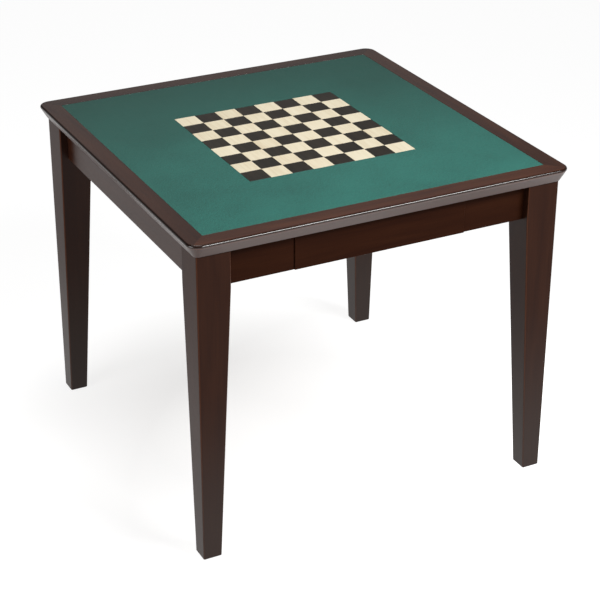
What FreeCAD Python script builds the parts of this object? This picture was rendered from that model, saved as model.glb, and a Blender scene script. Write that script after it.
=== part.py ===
"""Square game table with a baize field, an inlaid chess board and two drawers.

Millimetres. The origin is on the floor under the middle of the top, +Z is up,
the front face looks along -Y and the right side is at +X.
"""
import FreeCAD, Part
import math
import os

# Overall sizes
top_side = 901.7
table_height = 762.0

# Table top: border rails, core panel and inlays
edge_depth = 32.0
nose_radius = 4.5
bevel_inset = 15.0
corner_radius = 27.0
border_width = 44.45
core_thickness = 18.0
tongue_thickness = 6.0
tongue_length = 8.0
batten_width = 100.0
inlay_depth = 1.5
inlay_gap = 0.2
board_square = 50.8
squares_per_side = 8

# Legs
leg_setback = 19.05
leg_head = 76.2
leg_foot = 43.0
leg_edge_radius = 3.0
foot_chamfer = 2.0
leg_flat = 12.0

# Foot glides
glide_diameter = 24.0
glide_height = 2.0
glide_edge = 0.8
nail_diameter = 4.0
nail_length = 12.0

# Aprons
apron_height = 85.0
apron_thickness = 22.0
apron_recess = 19.0
short_apron_length = 150.9
apron_edge_radius = 1.0

# Corner blocks and the bolts that hold the legs
block_thickness = 24.0
block_height = 60.0
block_top_gap = 8.0
block_seat = 8.0
counterbore_diameter = 10.0
bolt_diameter = 8.0
bolt_spacing = 30.0
bolt_in_leg = 40.0
bolt_beyond_nut = 4.0
bolt_point = 7.0
washer_diameter = 20.0
washer_thickness = 1.8
nut_width = 13.0
nut_thickness = 6.5

# Screws, and the sides that stand for the round of every small fastener and its hole
small_part_sides = 6
screw_head_diameter = 8.0
screw_shank_diameter = 4.0
screw_head_depth = 2.2
screw_point = 3.0
screw_cover = 1.5
block_screw_spread = 36.0

# Angle brackets between the frame and the top
bracket_leg = 26.0
bracket_plate = 2.5
bracket_width = 20.0
bracket_hole = 16.0
bracket_spread = 300.0

# Drawer rails, cross rail, runner strips and dowels
rail_thickness = 22.0
rail_lift = 13.0
rail_top_gap = 2.0
cross_rail_thickness = 22.0
runner_height = 12.0
runner_lift = 34.0
runner_setback = 2.0
runner_end_gap = 16.0
runner_screw_inset = 60.0
runner_groove_depth = 6.0
dowel_diameter = 8.0
dowel_spread = 40.0
dowel_in_board = 12.0
dowel_in_end = 18.0

# Drawers
drawer_gap = 1.0
drawer_front_thickness = 20.0
drawer_front_proud = 3.0
drawer_front_top_gap = 2.0
drawer_front_edge_radius = 1.0
drawer_top_clearance = 8.0
drawer_side_lift = 13.0
drawer_side_thickness = 12.0
drawer_back_gap = 52.8
drawer_back_setback = 10.0
drawer_back_thickness = 12.0
drawer_back_dado = 4.0
drawer_bottom_thickness = 4.0
drawer_bottom_lift = 8.0
drawer_bottom_groove = 5.0
tails_per_corner = 3
tail_length = 13.0
tail_pin_width = 6.5
tail_slope_degrees = 8.0
finger_cove_radius = 9.0
finger_cove_length = 160.0

# Drawer stop blocks under the top
stop_width = 60.0
stop_depth = 20.0
stop_bite = 6.0
stop_inset = 5.0
stop_screw_spread = 30.0

# Clearances
glue_gap = 0.1
slide_clearance = 0.3
stop_clearance = 0.5
bore_clearance = 0.15

# Levels and planes that the pieces share
top_half = top_side / 2
border_inner = top_half - border_width
under_top = table_height - edge_depth
core_top = table_height - inlay_depth
core_bottom = core_top - core_thickness
batten_thickness = core_bottom - under_top
core_half = border_inner - glue_gap
batten_inner = core_half - batten_width
board_half = board_square * squares_per_side / 2
leg_outer = top_half - leg_setback
leg_inner = leg_outer - leg_head
apron_bottom = under_top - apron_height
apron_outer = leg_outer - apron_recess
apron_inner = apron_outer - apron_thickness

# Corner blocks lie between two lines x + y = constant
block_outer_sum = 2 * leg_inner + leg_flat
block_inner_sum = block_outer_sum - block_thickness * math.sqrt(2)
block_top = under_top - block_top_gap
block_bottom = block_top - block_height
block_end = (block_outer_sum + block_inner_sum) / 2 - apron_inner

# Drawer planes, for the front drawer
opening_half = leg_inner - short_apron_length
drawer_half = opening_half - drawer_gap
side_inner = drawer_half - drawer_side_thickness
front_face = -(apron_outer + drawer_front_proud)
front_back = front_face + drawer_front_thickness
side_bottom = apron_bottom + drawer_side_lift
side_top = under_top - drawer_top_clearance
side_end = -(cross_rail_thickness / 2 + drawer_back_gap)
back_rear = side_end - drawer_back_setback
back_front = back_rear - drawer_back_thickness
bottom_low = side_bottom + drawer_bottom_lift
bottom_high = bottom_low + drawer_bottom_thickness
runner_low = side_bottom + runner_lift - runner_height / 2
runner_high = runner_low + runner_height
runner_front = -apron_inner + runner_setback
runner_reach = drawer_gap + runner_groove_depth - slide_clearance
rail_low = apron_bottom + rail_lift
rail_high = under_top - rail_top_gap
stop_drop = drawer_top_clearance + stop_bite
stop_rear = -batten_inner - stop_inset
drawer_travel = back_front - stop_rear - stop_clearance

QUARTER_TURNS = {"right": 0, "back": 90, "left": 180, "front": 270}
CORNER_TURNS = {"back_right": 0, "back_left": 90, "front_left": 180, "front_right": 270}
END_TURNS = {"front": 0, "back": 180}
MITRE_DEGREES = 45

ORIGIN = FreeCAD.Vector(0, 0, 0)
UP = FreeCAD.Vector(0, 0, 1)
MIRROR_X = FreeCAD.Vector(1, 0, 0)

nodes = {}


def vec(x, y, z):
    """Short name for a vector."""
    return FreeCAD.Vector(x, y, z)


def box(low, high):
    """Box between two opposite corners."""
    return Part.makeBox(high[0] - low[0], high[1] - low[1], high[2] - low[2], vec(*low))


def turned(shape, degrees):
    """Copy of a shape turned about the table's middle axis."""
    return shape.rotated(ORIGIN, UP, degrees)


def mirrored(shape):
    """Copy of a shape mirrored from the right half to the left half."""
    return shape.mirror(ORIGIN, MIRROR_X)


def prism(points, direction):
    """Solid of a closed polygon carried along a direction."""
    return Part.Face(Part.makePolygon(points + points[:1])).extrude(direction)


def aimed(shape, seat, head_direction):
    """Copy of a shape made along +Z, moved to a seat and turned to a direction."""
    turn = FreeCAD.Rotation(UP, head_direction)
    moved = shape.copy()
    moved.Placement = FreeCAD.Placement(seat, turn) * shape.Placement
    return moved


def spun(profile):
    """Solid with flat sides about Z, from a closed list of (radius, height) points."""
    step = 2 * math.pi / small_part_sides
    rings = [
        [
            vec(radius * math.cos(side * step), radius * math.sin(side * step), height)
            for side in range(small_part_sides + 1)
        ]
        for radius, height in profile
    ]
    faces = []
    for (near, far), (near_ring, far_ring) in zip(
        zip(profile, profile[1:] + profile[:1]), zip(rings, rings[1:] + rings[:1])
    ):
        if near[0] == 0 and far[0] == 0:
            continue
        for side in range(small_part_sides):
            corners = near_ring[side:side + 2]
            if near[0] == 0:
                corners = corners[:1]
            corners += [far_ring[side + 1], far_ring[side]] if far[0] > 0 else far_ring[:1]
            faces.append(Part.Face(Part.makePolygon(corners + corners[:1])))
    solid = Part.Solid(Part.Shell(faces)).removeSplitter()
    return solid if solid.Volume > 0 else solid.reversed()


def rod(radius, low, high):
    """Rod about Z between two heights."""
    return spun([(0, low), (radius, low), (radius, high), (0, high)])


def screw(length):
    """Countersunk wood screw with the middle of its head at the origin, pointing down."""
    head, shank = screw_head_diameter / 2, screw_shank_diameter / 2
    return spun([(0, 0), (head, 0), (shank, -screw_head_depth), (shank, screw_point - length), (0, -length)])


def screw_bore(length):
    """Countersunk hole for that screw."""
    head = screw_head_diameter / 2 + bore_clearance
    shank = screw_shank_diameter / 2 + bore_clearance
    depth = length + bore_clearance
    return spun([(0, 0), (head, 0), (shank, -screw_head_depth), (shank, -depth), (0, -depth)])


def rail_section():
    """Section of a border rail in the XZ plane: groove, round nose and under-bevel."""
    nose_x, nose_z = top_half - nose_radius, table_height - nose_radius
    foot_x, foot_z = top_half - bevel_inset, under_top
    reach = math.hypot(foot_x - nose_x, foot_z - nose_z)
    tangent = math.atan2(foot_z - nose_z, foot_x - nose_x) + math.acos(nose_radius / reach)
    middle = (tangent + math.pi / 2) / 2

    def on_nose(angle):
        return vec(nose_x + nose_radius * math.cos(angle), 0, nose_z + nose_radius * math.sin(angle))

    tongue_middle = (core_top + core_bottom) / 2
    groove_half = tongue_thickness / 2 + glue_gap
    groove_end = border_inner + tongue_length + glue_gap
    start = on_nose(math.pi / 2)
    finish = on_nose(tangent)
    flat = [
        finish,
        vec(foot_x, 0, foot_z),
        vec(border_inner, 0, under_top),
        vec(border_inner, 0, tongue_middle - groove_half),
        vec(groove_end, 0, tongue_middle - groove_half),
        vec(groove_end, 0, tongue_middle + groove_half),
        vec(border_inner, 0, tongue_middle + groove_half),
        vec(border_inner, 0, table_height),
        start,
    ]
    nose = Part.Arc(start, on_nose(middle), finish).toShape()
    return Part.Face(Part.Wire([nose] + Part.makePolygon(flat).Edges))


def border_rail():
    """Right border rail: straight run, mitred ends and half of each rounded corner."""
    section = rail_section()
    turn_centre = top_half - corner_radius
    run = section.translated(vec(0, -turn_centre, 0)).extrude(vec(0, 2 * turn_centre, 0))
    wedge = prism([ORIGIN, vec(top_side, -top_side, 0), vec(top_side, top_side, 0)], vec(0, 0, top_side))
    rail = run.common(wedge)
    outer = section.common(
        box((turn_centre, -corner_radius, 0), (top_side, corner_radius, top_side))
    )
    for side in (1, -1):
        corner = outer.translated(vec(0, side * turn_centre, 0))
        rail = rail.fuse(corner.revolve(vec(turn_centre, side * turn_centre, 0), UP, side * MITRE_DEGREES))
    return rail.removeSplitter()


def core_panel():
    """Core under the inlays, with a tongue all round."""
    tongue_middle = (core_top + core_bottom) / 2
    tongue_half = border_inner + tongue_length
    panel = box((-core_half, -core_half, core_bottom), (core_half, core_half, core_top))
    tongue = box(
        (-tongue_half, -tongue_half, tongue_middle - tongue_thickness / 2),
        (tongue_half, tongue_half, tongue_middle + tongue_thickness / 2),
    )
    return panel.fuse(tongue).removeSplitter()


def baize():
    """Baize sheet with a square cut out for the board."""
    outer = border_inner - inlay_gap
    hole = board_half + inlay_gap
    sheet = box((-outer, -outer, core_top), (outer, outer, table_height))
    return sheet.cut(box((-hole, -hole, core_top), (hole, hole, table_height)))


def board_squares(parity):
    """Veneer squares of one colour; the near left square has parity 0."""
    size = board_square - inlay_gap
    squares = []
    for column in range(squares_per_side):
        for row in range(squares_per_side):
            if (column + row) % 2 == parity:
                x = column * board_square - board_half + inlay_gap / 2
                y = row * board_square - board_half + inlay_gap / 2
                squares.append(box((x, y, core_top), (x + size, y + size, table_height)))
    return Part.makeCompound(squares)


def bolt_seats():
    """Points on the flat of the back right leg where the hanger bolts go in."""
    middle = (block_top + block_bottom) / 2
    at = block_outer_sum / 2
    return [vec(at, at, middle + side * bolt_spacing / 2) for side in (1, -1)]


def leg(foot_bore):
    """Back right leg: straight head, two tapered inner faces and a flat for the bolts."""
    foot_inner = leg_outer - leg_foot
    body = box((leg_inner, leg_inner, glide_height), (leg_outer, leg_outer, under_top))
    knee = vec(leg_inner, leg_inner, apron_bottom)
    heel = vec(leg_inner, leg_inner, glide_height)
    taper_x = prism([knee, heel, vec(foot_inner, leg_inner, glide_height)], vec(0, leg_head, 0))
    taper_y = prism([knee, heel, vec(leg_inner, foot_inner, glide_height)], vec(leg_head, 0, 0))
    flat = prism([
        knee,
        vec(leg_inner + leg_flat, leg_inner, apron_bottom),
        vec(leg_inner, leg_inner + leg_flat, apron_bottom),
    ], vec(0, 0, apron_height))
    body = body.cut(taper_x).cut(taper_y).cut(flat)

    def rounded(edge):
        middle = edge.CenterOfMass
        beside_flat = middle.z > apron_bottom and middle.x + middle.y < block_outer_sum + leg_edge_radius
        return edge.BoundBox.ZLength > leg_edge_radius and not beside_flat

    body = body.makeFillet(leg_edge_radius, [edge for edge in body.Edges if rounded(edge)])
    sole = [edge for edge in body.Edges if edge.BoundBox.ZMax < glide_height + foot_chamfer]
    body = body.makeChamfer(foot_chamfer, sole)
    bore = rod(bolt_diameter / 2 + bore_clearance, 0, bolt_in_leg + bore_clearance)
    for seat in bolt_seats():
        body = body.cut(aimed(bore, seat, vec(1, 1, 0)))
    return body.cut(foot_bore)


def glide_place():
    """Middle of the back right foot."""
    middle = leg_outer - leg_foot / 2
    return vec(middle, middle, 0)


def glide():
    """Nail-on glide: a disc with an eased rim and its nail."""
    disc, nail = glide_diameter / 2, nail_diameter / 2
    shape = spun([
        (0, 0), (disc - glide_edge, 0), (disc, glide_edge), (disc, glide_height),
        (nail, glide_height), (nail, glide_height + nail_length), (0, glide_height + nail_length),
    ])
    return shape.translated(glide_place())


def glide_bore():
    """Hole in the foot for the glide's nail."""
    bore = rod(nail_diameter / 2 + bore_clearance, 0, nail_length + bore_clearance)
    return bore.translated(glide_place() + vec(0, 0, glide_height))


def hanger_bolt():
    """Bolt along +Z: point in the leg, rest through the block, washer and nut."""
    radius = bolt_diameter / 2
    back = block_thickness + washer_thickness + nut_thickness + bolt_beyond_nut
    return spun([
        (0, -back), (radius, -back), (radius, bolt_in_leg - bolt_point), (0, bolt_in_leg),
    ])


def washer():
    """Flat washer on the block's inner face."""
    rim, hole = washer_diameter / 2, bolt_diameter / 2 + bore_clearance
    high = -block_thickness
    low = high - washer_thickness
    return spun([(hole, low), (rim, low), (rim, high), (hole, high)])


def nut():
    """Hexagon nut on the washer."""
    corner = nut_width / math.sqrt(3)
    points = [
        vec(corner * math.cos(step * math.pi / 3), corner * math.sin(step * math.pi / 3), 0)
        for step in range(6)
    ]
    hole = rod(bolt_diameter / 2 + bore_clearance, 0, nut_thickness)
    low = -block_thickness - washer_thickness - nut_thickness
    return prism(points, vec(0, 0, nut_thickness)).cut(hole).translated(vec(0, 0, low))


def at_all_corners(shapes):
    """Compound of some shapes of the back right corner, repeated at every corner."""
    return Part.makeCompound([
        turned(shape, degrees) for degrees in CORNER_TURNS.values() for shape in shapes
    ])


def block_screw_length():
    """Block screws pass the block's seat and stop inside the apron."""
    return block_seat + apron_thickness - screw_cover


def block_screw_seats():
    """Head seats in the back right block with the direction that each head faces."""
    middle = (block_top + block_bottom) / 2
    seat = apron_inner - block_seat
    places = []
    for side in (1, -1):
        z = middle + side * block_screw_spread / 2
        places.append((vec(seat, block_end, z), vec(-1, 0, 0)))
        places.append((vec(block_end, seat, z), vec(0, -1, 0)))
    return places


def placed(shape, places):
    """Copies of a shape at a list of seats and directions."""
    return [aimed(shape, seat, direction) for seat, direction in places]


def corner_block(screw_bores):
    """Back right block between two aprons, drilled for bolts and screws."""
    body = prism([
        vec(apron_inner, block_outer_sum - apron_inner, block_bottom),
        vec(block_outer_sum - apron_inner, apron_inner, block_bottom),
        vec(block_inner_sum - apron_inner, apron_inner, block_bottom),
        vec(apron_inner, block_inner_sum - apron_inner, block_bottom),
    ], vec(0, 0, block_height))
    bore = rod(bolt_diameter / 2 + bore_clearance, -2 * block_thickness, 0)
    for seat in bolt_seats():
        body = body.cut(aimed(bore, seat, vec(1, 1, 0)))
    pocket = rod(counterbore_diameter / 2, 0, 2 * block_thickness)
    for pocket_cut in placed(pocket, block_screw_seats()) + screw_bores:
        body = body.cut(pocket_cut)
    return body


def bracket_places():
    """Turns and sideways offsets of the angle brackets, made on the right apron."""
    stub_offset = (opening_half + rail_thickness + block_inner_sum - apron_inner) / 2
    offsets = {"right": bracket_spread / 2, "left": bracket_spread / 2}
    offsets.update({"front": stub_offset, "back": stub_offset})
    return [
        (QUARTER_TURNS[side], sign * offset) for side, offset in offsets.items() for sign in (1, -1)
    ]


def bracket_screw_length():
    """Bracket screws stop inside the batten."""
    return bracket_plate + batten_thickness - screw_cover


def bracket_screw_seats():
    """Head seats of one bracket at the middle of the right apron."""
    return [
        (vec(apron_inner - bracket_plate, 0, under_top - bracket_hole), vec(-1, 0, 0)),
        (vec(apron_inner - bracket_hole, 0, under_top - bracket_plate), vec(0, 0, -1)),
    ]


def bracket(screw_bores):
    """Angle bracket at the middle of the right apron, with two countersunk holes."""
    half = bracket_width / 2
    upright = box(
        (apron_inner - bracket_plate, -half, under_top - bracket_leg), (apron_inner, half, under_top)
    )
    flange = box(
        (apron_inner - bracket_leg, -half, under_top - bracket_plate), (apron_inner, half, under_top)
    )
    body = upright.fuse(flange).removeSplitter()
    for hole in screw_bores:
        body = body.cut(hole)
    return body


def at_all_brackets(shapes):
    """Copies of some shapes of one bracket at every bracket."""
    return [
        turned(shape.translated(vec(0, offset, 0)), degrees)
        for degrees, offset in bracket_places() for shape in shapes
    ]


def batten(half_length):
    """Right build-up batten under the core."""
    return box((batten_inner, -half_length, under_top), (core_half, half_length, core_bottom))


def eased(shape, pick, radius):
    """Shape with the edges that a test picks rounded."""
    return shape.makeFillet(radius, [edge for edge in shape.Edges if pick(edge.BoundBox)])


def side_apron():
    """Right apron between two legs, with its lower edges eased."""
    board = box((apron_inner, -leg_inner, apron_bottom), (apron_outer, leg_inner, under_top))

    def lower_long(bounds):
        return bounds.ZMax < apron_bottom + apron_edge_radius and bounds.YLength > apron_thickness

    return eased(board, lower_long, apron_edge_radius)


def short_apron():
    """Front right apron piece, from the drawer opening to the leg."""
    board = box((opening_half, -apron_outer, apron_bottom), (leg_inner, -apron_inner, under_top))

    def seen_edges(bounds):
        lower = bounds.ZMax < apron_bottom + apron_edge_radius and bounds.XLength > apron_thickness
        mouth = bounds.XMax < opening_half + apron_edge_radius and bounds.ZLength > apron_thickness
        return lower or (mouth and bounds.YMax < -apron_outer + apron_edge_radius)

    return eased(board, seen_edges, apron_edge_radius)


def dowel_places():
    """Dowel seats on the board side of each joint of the drawer rails and cross rail."""
    middle = (rail_low + rail_high) / 2
    rail_middle = opening_half + rail_thickness / 2
    places = []
    for side in (1, -1):
        z = middle + side * dowel_spread / 2
        for end in (1, -1):
            for hand in (1, -1):
                places.append((vec(hand * rail_middle, end * apron_inner, z), vec(0, -end, 0)))
        for hand in (1, -1):
            places.append((vec(hand * opening_half, 0, z), vec(-hand, 0, 0)))
    return places


def dowel():
    """Dowel along +Z across a joint at the origin."""
    return rod(dowel_diameter / 2, -dowel_in_board, dowel_in_end)


def dowel_bore():
    """Hole for a dowel, a little deeper at both ends."""
    radius = dowel_diameter / 2 + bore_clearance
    return rod(radius, -dowel_in_board - bore_clearance, dowel_in_end + bore_clearance)


def drawer_rail():
    """Right drawer rail, from the front apron to the back apron."""
    outer = opening_half + rail_thickness
    return box((opening_half, -apron_inner, rail_low), (outer, apron_inner, rail_high))


def cross_rail():
    """Cross rail between the two drawer rails."""
    half = cross_rail_thickness / 2
    return box((-opening_half, -half, rail_low), (opening_half, half, rail_high))


def runner_end():
    """Inner end of the front runner strips."""
    return -(cross_rail_thickness / 2 + runner_end_gap)


def runner():
    """Front right runner strip on the inside of its rail."""
    inner = opening_half - runner_reach
    return box((inner, runner_front, runner_low), (opening_half, runner_end(), runner_high))


def runner_screw_length():
    """Runner screws pass the strip and stop inside the rail."""
    return runner_reach + rail_thickness - screw_cover


def runner_screw_seats():
    """Head seats of the front right runner strip."""
    middle = (runner_low + runner_high) / 2
    ends = (runner_front + runner_screw_inset, runner_end() - runner_screw_inset)
    return [(vec(opening_half - runner_reach, y, middle), vec(-1, 0, 0)) for y in ends]


def at_all_runners(shapes):
    """Copies of some shapes of the front right runner at all four runners."""
    both = shapes + [mirrored(shape) for shape in shapes]
    return both + [turned(shape, END_TURNS["back"]) for shape in both]


def tail_profile(clearance):
    """Polygons of the dovetails of one corner, in the YZ plane of the side's inner face."""
    pitch = (side_top - side_bottom) / tails_per_corner
    tip_half = (pitch - tail_pin_width) / 2 + clearance
    root_half = tip_half - tail_length * math.tan(math.radians(tail_slope_degrees))
    tip = front_back - tail_length - clearance
    start = side_inner - clearance
    polygons = []
    for index in range(tails_per_corner):
        z = side_bottom + pitch * (index + 0.5)
        polygons.append([
            vec(start, front_back, z - root_half),
            vec(start, tip, z - tip_half),
            vec(start, tip, z + tip_half),
            vec(start, front_back, z + root_half),
        ])
    return polygons


def drawer_front():
    """Front board with dovetail sockets, a groove for the bottom and a finger cove."""
    front_top = under_top - drawer_front_top_gap
    board = box((-drawer_half, front_face, apron_bottom), (drawer_half, front_back, front_top))

    def face_rim(bounds):
        return bounds.YMax < front_face + drawer_front_edge_radius

    board = eased(board, face_rim, drawer_front_edge_radius)
    for polygon in tail_profile(glue_gap):
        socket = prism(polygon, vec(2 * drawer_side_thickness, 0, 0))
        board = board.cut(socket).cut(mirrored(socket))
    groove = box(
        (-side_inner, front_back - drawer_bottom_groove, bottom_low - glue_gap),
        (side_inner, front_back, bottom_high + glue_gap),
    )
    half = finger_cove_length / 2
    cove = Part.makeCylinder(
        finger_cove_radius, finger_cove_length, vec(-half, front_back, apron_bottom), MIRROR_X
    )
    return board.cut(groove).cut(cove)


def drawer_side():
    """Right side with dovetails, a runner groove, a bottom groove and a dado for the back."""
    board = box((side_inner, front_back, side_bottom), (drawer_half, side_end, side_top))
    for polygon in tail_profile(0):
        board = board.fuse(prism(polygon, vec(drawer_side_thickness, 0, 0)))
    board = board.removeSplitter()
    runner_groove = box(
        (drawer_half - runner_groove_depth, runner_front - stop_clearance, runner_low - slide_clearance),
        (drawer_half, side_end, runner_high + slide_clearance),
    )
    bottom_groove = box(
        (side_inner, front_back, bottom_low - glue_gap),
        (side_inner + drawer_bottom_groove, side_end, bottom_high + glue_gap),
    )
    dado = box(
        (side_inner, back_front - glue_gap, bottom_high),
        (side_inner + drawer_back_dado, back_rear + glue_gap, side_top),
    )
    return board.cut(runner_groove).cut(bottom_groove).cut(dado)


def drawer_back():
    """Back board, housed in the sides and standing on the bottom panel."""
    half = side_inner + drawer_back_dado - glue_gap
    return box((-half, back_front, bottom_high + glue_gap), (half, back_rear, side_top))


def drawer_bottom():
    """Thin bottom panel in the grooves of the sides and the front, passing under the back."""
    half = side_inner + drawer_bottom_groove - glue_gap
    start = front_back + glue_gap
    panel = box((-half, start, bottom_low), (half, side_end, bottom_high))
    tongue_half = side_inner - glue_gap
    tongue = box(
        (-tongue_half, front_back - drawer_bottom_groove + glue_gap, bottom_low),
        (tongue_half, start, bottom_high),
    )
    return panel.fuse(tongue).removeSplitter()


def stop_block():
    """Block under the front batten that the drawer's back meets at the end of its travel."""
    half = stop_width / 2
    return box((-half, stop_rear - stop_depth, under_top - stop_drop), (half, stop_rear, under_top))


def stop_screw_length():
    """Stop screws pass the block and stop inside the batten."""
    return stop_drop + batten_thickness - screw_cover


def stop_screw_seats():
    """Head seats in the front stop block."""
    y = stop_rear - stop_depth / 2
    z = under_top - stop_drop
    return [(vec(side * stop_screw_spread / 2, y, z), vec(0, 0, -1)) for side in (1, -1)]


def cut_all(shape, tools):
    """Shape with each tool that reaches it cut away."""
    for tool in tools:
        if shape.BoundBox.intersect(tool.BoundBox):
            shape = shape.cut(tool)
    return shape


def build_top():
    """Border rails, core, battens and inlays."""
    rail = border_rail()
    for side, degrees in QUARTER_TURNS.items():
        nodes[side + "_border_rail"] = turned(rail, degrees)
    nodes["top_core_panel"] = core_panel()
    nodes["baize_field"] = baize()
    nodes["dark_squares"] = board_squares(0)
    nodes["light_squares"] = board_squares(1)
    bores = at_all_brackets(placed(screw_bore(bracket_screw_length()), bracket_screw_seats()))
    stop_bores = placed(screw_bore(stop_screw_length()), stop_screw_seats())
    bores += stop_bores + [turned(bore, END_TURNS["back"]) for bore in stop_bores]
    lengths = {"front": core_half, "back": core_half}
    lengths.update({"left": batten_inner - glue_gap, "right": batten_inner - glue_gap})
    for side, length in lengths.items():
        nodes[side + "_top_batten"] = cut_all(turned(batten(length), QUARTER_TURNS[side]), bores)


def build_legs():
    """Legs, glides, corner blocks and their fasteners."""
    block_bores = placed(screw_bore(block_screw_length()), block_screw_seats())
    one_leg = leg(glide_bore())
    one_block = corner_block(block_bores)
    for corner, degrees in CORNER_TURNS.items():
        nodes[corner + "_leg"] = turned(one_leg, degrees)
        nodes[corner + "_corner_block"] = turned(one_block, degrees)
    nodes["foot_glides"] = at_all_corners([glide()])
    bolt_places = [(seat, vec(1, 1, 0)) for seat in bolt_seats()]
    nodes["hanger_bolts"] = at_all_corners(placed(hanger_bolt(), bolt_places))
    nodes["hanger_bolt_washers"] = at_all_corners(placed(washer(), bolt_places))
    nodes["hanger_bolt_nuts"] = at_all_corners(placed(nut(), bolt_places))
    nodes["corner_block_screws"] = at_all_corners(
        placed(screw(block_screw_length()), block_screw_seats())
    )
    return [turned(bore, degrees) for degrees in CORNER_TURNS.values() for bore in block_bores]


def build_frame(block_bores):
    """Aprons, drawer rails, runners, brackets and stops."""
    bracket_bores = placed(screw_bore(bracket_screw_length()), bracket_screw_seats())
    dowel_bores = placed(dowel_bore(), dowel_places())
    bores = block_bores + at_all_brackets(bracket_bores) + dowel_bores
    for side in ("left", "right"):
        nodes[side + "_apron"] = cut_all(turned(side_apron(), QUARTER_TURNS[side]), bores)
    right_piece = short_apron()
    left_piece = mirrored(right_piece)
    short_pieces = {
        "front_right_apron": right_piece,
        "front_left_apron": left_piece,
        "back_left_apron": turned(right_piece, END_TURNS["back"]),
        "back_right_apron": turned(left_piece, END_TURNS["back"]),
    }
    for name, piece in short_pieces.items():
        nodes[name] = cut_all(piece, bores)
    runner_bores = placed(screw_bore(runner_screw_length()), runner_screw_seats())
    rail_bores = dowel_bores + at_all_runners(runner_bores)
    nodes["right_drawer_rail"] = cut_all(drawer_rail(), rail_bores)
    nodes["left_drawer_rail"] = cut_all(mirrored(drawer_rail()), rail_bores)
    nodes["cross_rail"] = cut_all(cross_rail(), dowel_bores)
    nodes["rail_dowels"] = Part.makeCompound(placed(dowel(), dowel_places()))
    names = ("front_right_runner", "front_left_runner", "back_left_runner", "back_right_runner")
    for name, strip in zip(names, at_all_runners([cut_all(runner(), runner_bores)])):
        nodes[name] = strip
    nodes["runner_screws"] = Part.makeCompound(
        at_all_runners(placed(screw(runner_screw_length()), runner_screw_seats()))
    )
    nodes["top_brackets"] = Part.makeCompound(at_all_brackets([bracket(bracket_bores)]))
    nodes["top_bracket_screws"] = Part.makeCompound(
        at_all_brackets(placed(screw(bracket_screw_length()), bracket_screw_seats()))
    )
    stop = cut_all(stop_block(), placed(screw_bore(stop_screw_length()), stop_screw_seats()))
    stop_screws = placed(screw(stop_screw_length()), stop_screw_seats())
    for end, degrees in END_TURNS.items():
        nodes[end + "_drawer_stop"] = turned(stop, degrees)
    nodes["drawer_stop_screws"] = Part.makeCompound(
        stop_screws + [turned(shape, END_TURNS["back"]) for shape in stop_screws]
    )


def build_drawers():
    """Two drawers, the back one turned half round; their sides are named in the table's frame."""
    side = drawer_side()
    pieces = {
        "drawer_front": drawer_front(),
        "drawer_right_side": side,
        "drawer_left_side": mirrored(side),
        "drawer_back": drawer_back(),
        "drawer_bottom": drawer_bottom(),
    }
    seen_from_behind = {"drawer_right_side": "drawer_left_side", "drawer_left_side": "drawer_right_side"}
    for name, piece in pieces.items():
        nodes["front_" + name] = piece
        nodes["back_" + seen_from_behind.get(name, name)] = turned(piece, END_TURNS["back"])


build_top()
build_frame(build_legs())
build_drawers()

os.makedirs("parts", exist_ok=True)
for node, shape in nodes.items():
    shape.exportStep("parts/" + node + ".step")
print("nodes", len(nodes), "drawer travel", round(drawer_travel, 2))
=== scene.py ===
"""Looks of the square game table: lacquered wood, baize, board veneers and hardware.

Metres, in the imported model's frame: the origin is on the floor under the middle
of the top, +Z is up, the front looks along -Y and the right side is at +X.
"""
from __future__ import annotations

import logging
import math
from dataclasses import dataclass
from enum import Enum

import bpy
import numpy as np
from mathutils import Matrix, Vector


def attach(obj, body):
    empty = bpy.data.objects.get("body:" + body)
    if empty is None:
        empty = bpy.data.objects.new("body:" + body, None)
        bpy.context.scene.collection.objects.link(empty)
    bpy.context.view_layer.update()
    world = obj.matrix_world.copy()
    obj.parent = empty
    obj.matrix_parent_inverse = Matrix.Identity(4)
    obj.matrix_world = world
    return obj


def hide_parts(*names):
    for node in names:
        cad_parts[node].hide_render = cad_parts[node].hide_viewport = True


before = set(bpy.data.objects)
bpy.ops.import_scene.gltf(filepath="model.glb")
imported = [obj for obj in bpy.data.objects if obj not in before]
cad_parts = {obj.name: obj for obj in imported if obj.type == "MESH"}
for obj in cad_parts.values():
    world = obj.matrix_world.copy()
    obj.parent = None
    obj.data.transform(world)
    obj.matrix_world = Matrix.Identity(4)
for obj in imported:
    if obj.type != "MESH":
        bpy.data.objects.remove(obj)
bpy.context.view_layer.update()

LOG = logging.getLogger("game_table")
TABLE = "table"
SHARP_ANGLE = math.radians(35)
WEAR_AND_SHADE_LAYER = "wear_and_painted_shade"
WELD = 1e-7
MM = 0.001

Array = np.ndarray
Colour = tuple[float, float, float, float]
Place = tuple[float, float, float]
Stops = tuple[tuple[float, float], ...]


class Grain(Enum):
    """Turn of the pattern that lays its X axis along the grain of a piece."""

    along_x = (0.0, 0.0, 0.0)
    along_y = (0.0, 0.0, -math.pi / 2)
    along_z = (0.0, math.pi / 2, 0.0)


class Side(Enum):
    """Quarter turns that carry a piece of the right side to each side of the table."""

    right = 0
    back = 90
    left = 180
    front = 270

    @property
    def grain(self) -> Grain:
        """Direction of a board that runs along this side."""
        return Grain.along_y if self in (Side.left, Side.right) else Grain.along_x


class Corner(Enum):
    """Quarter turns that carry a piece of the back right corner to each corner."""

    back_right = 0
    back_left = 90
    front_left = 180
    front_right = 270


# Surfaces as arrays


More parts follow.
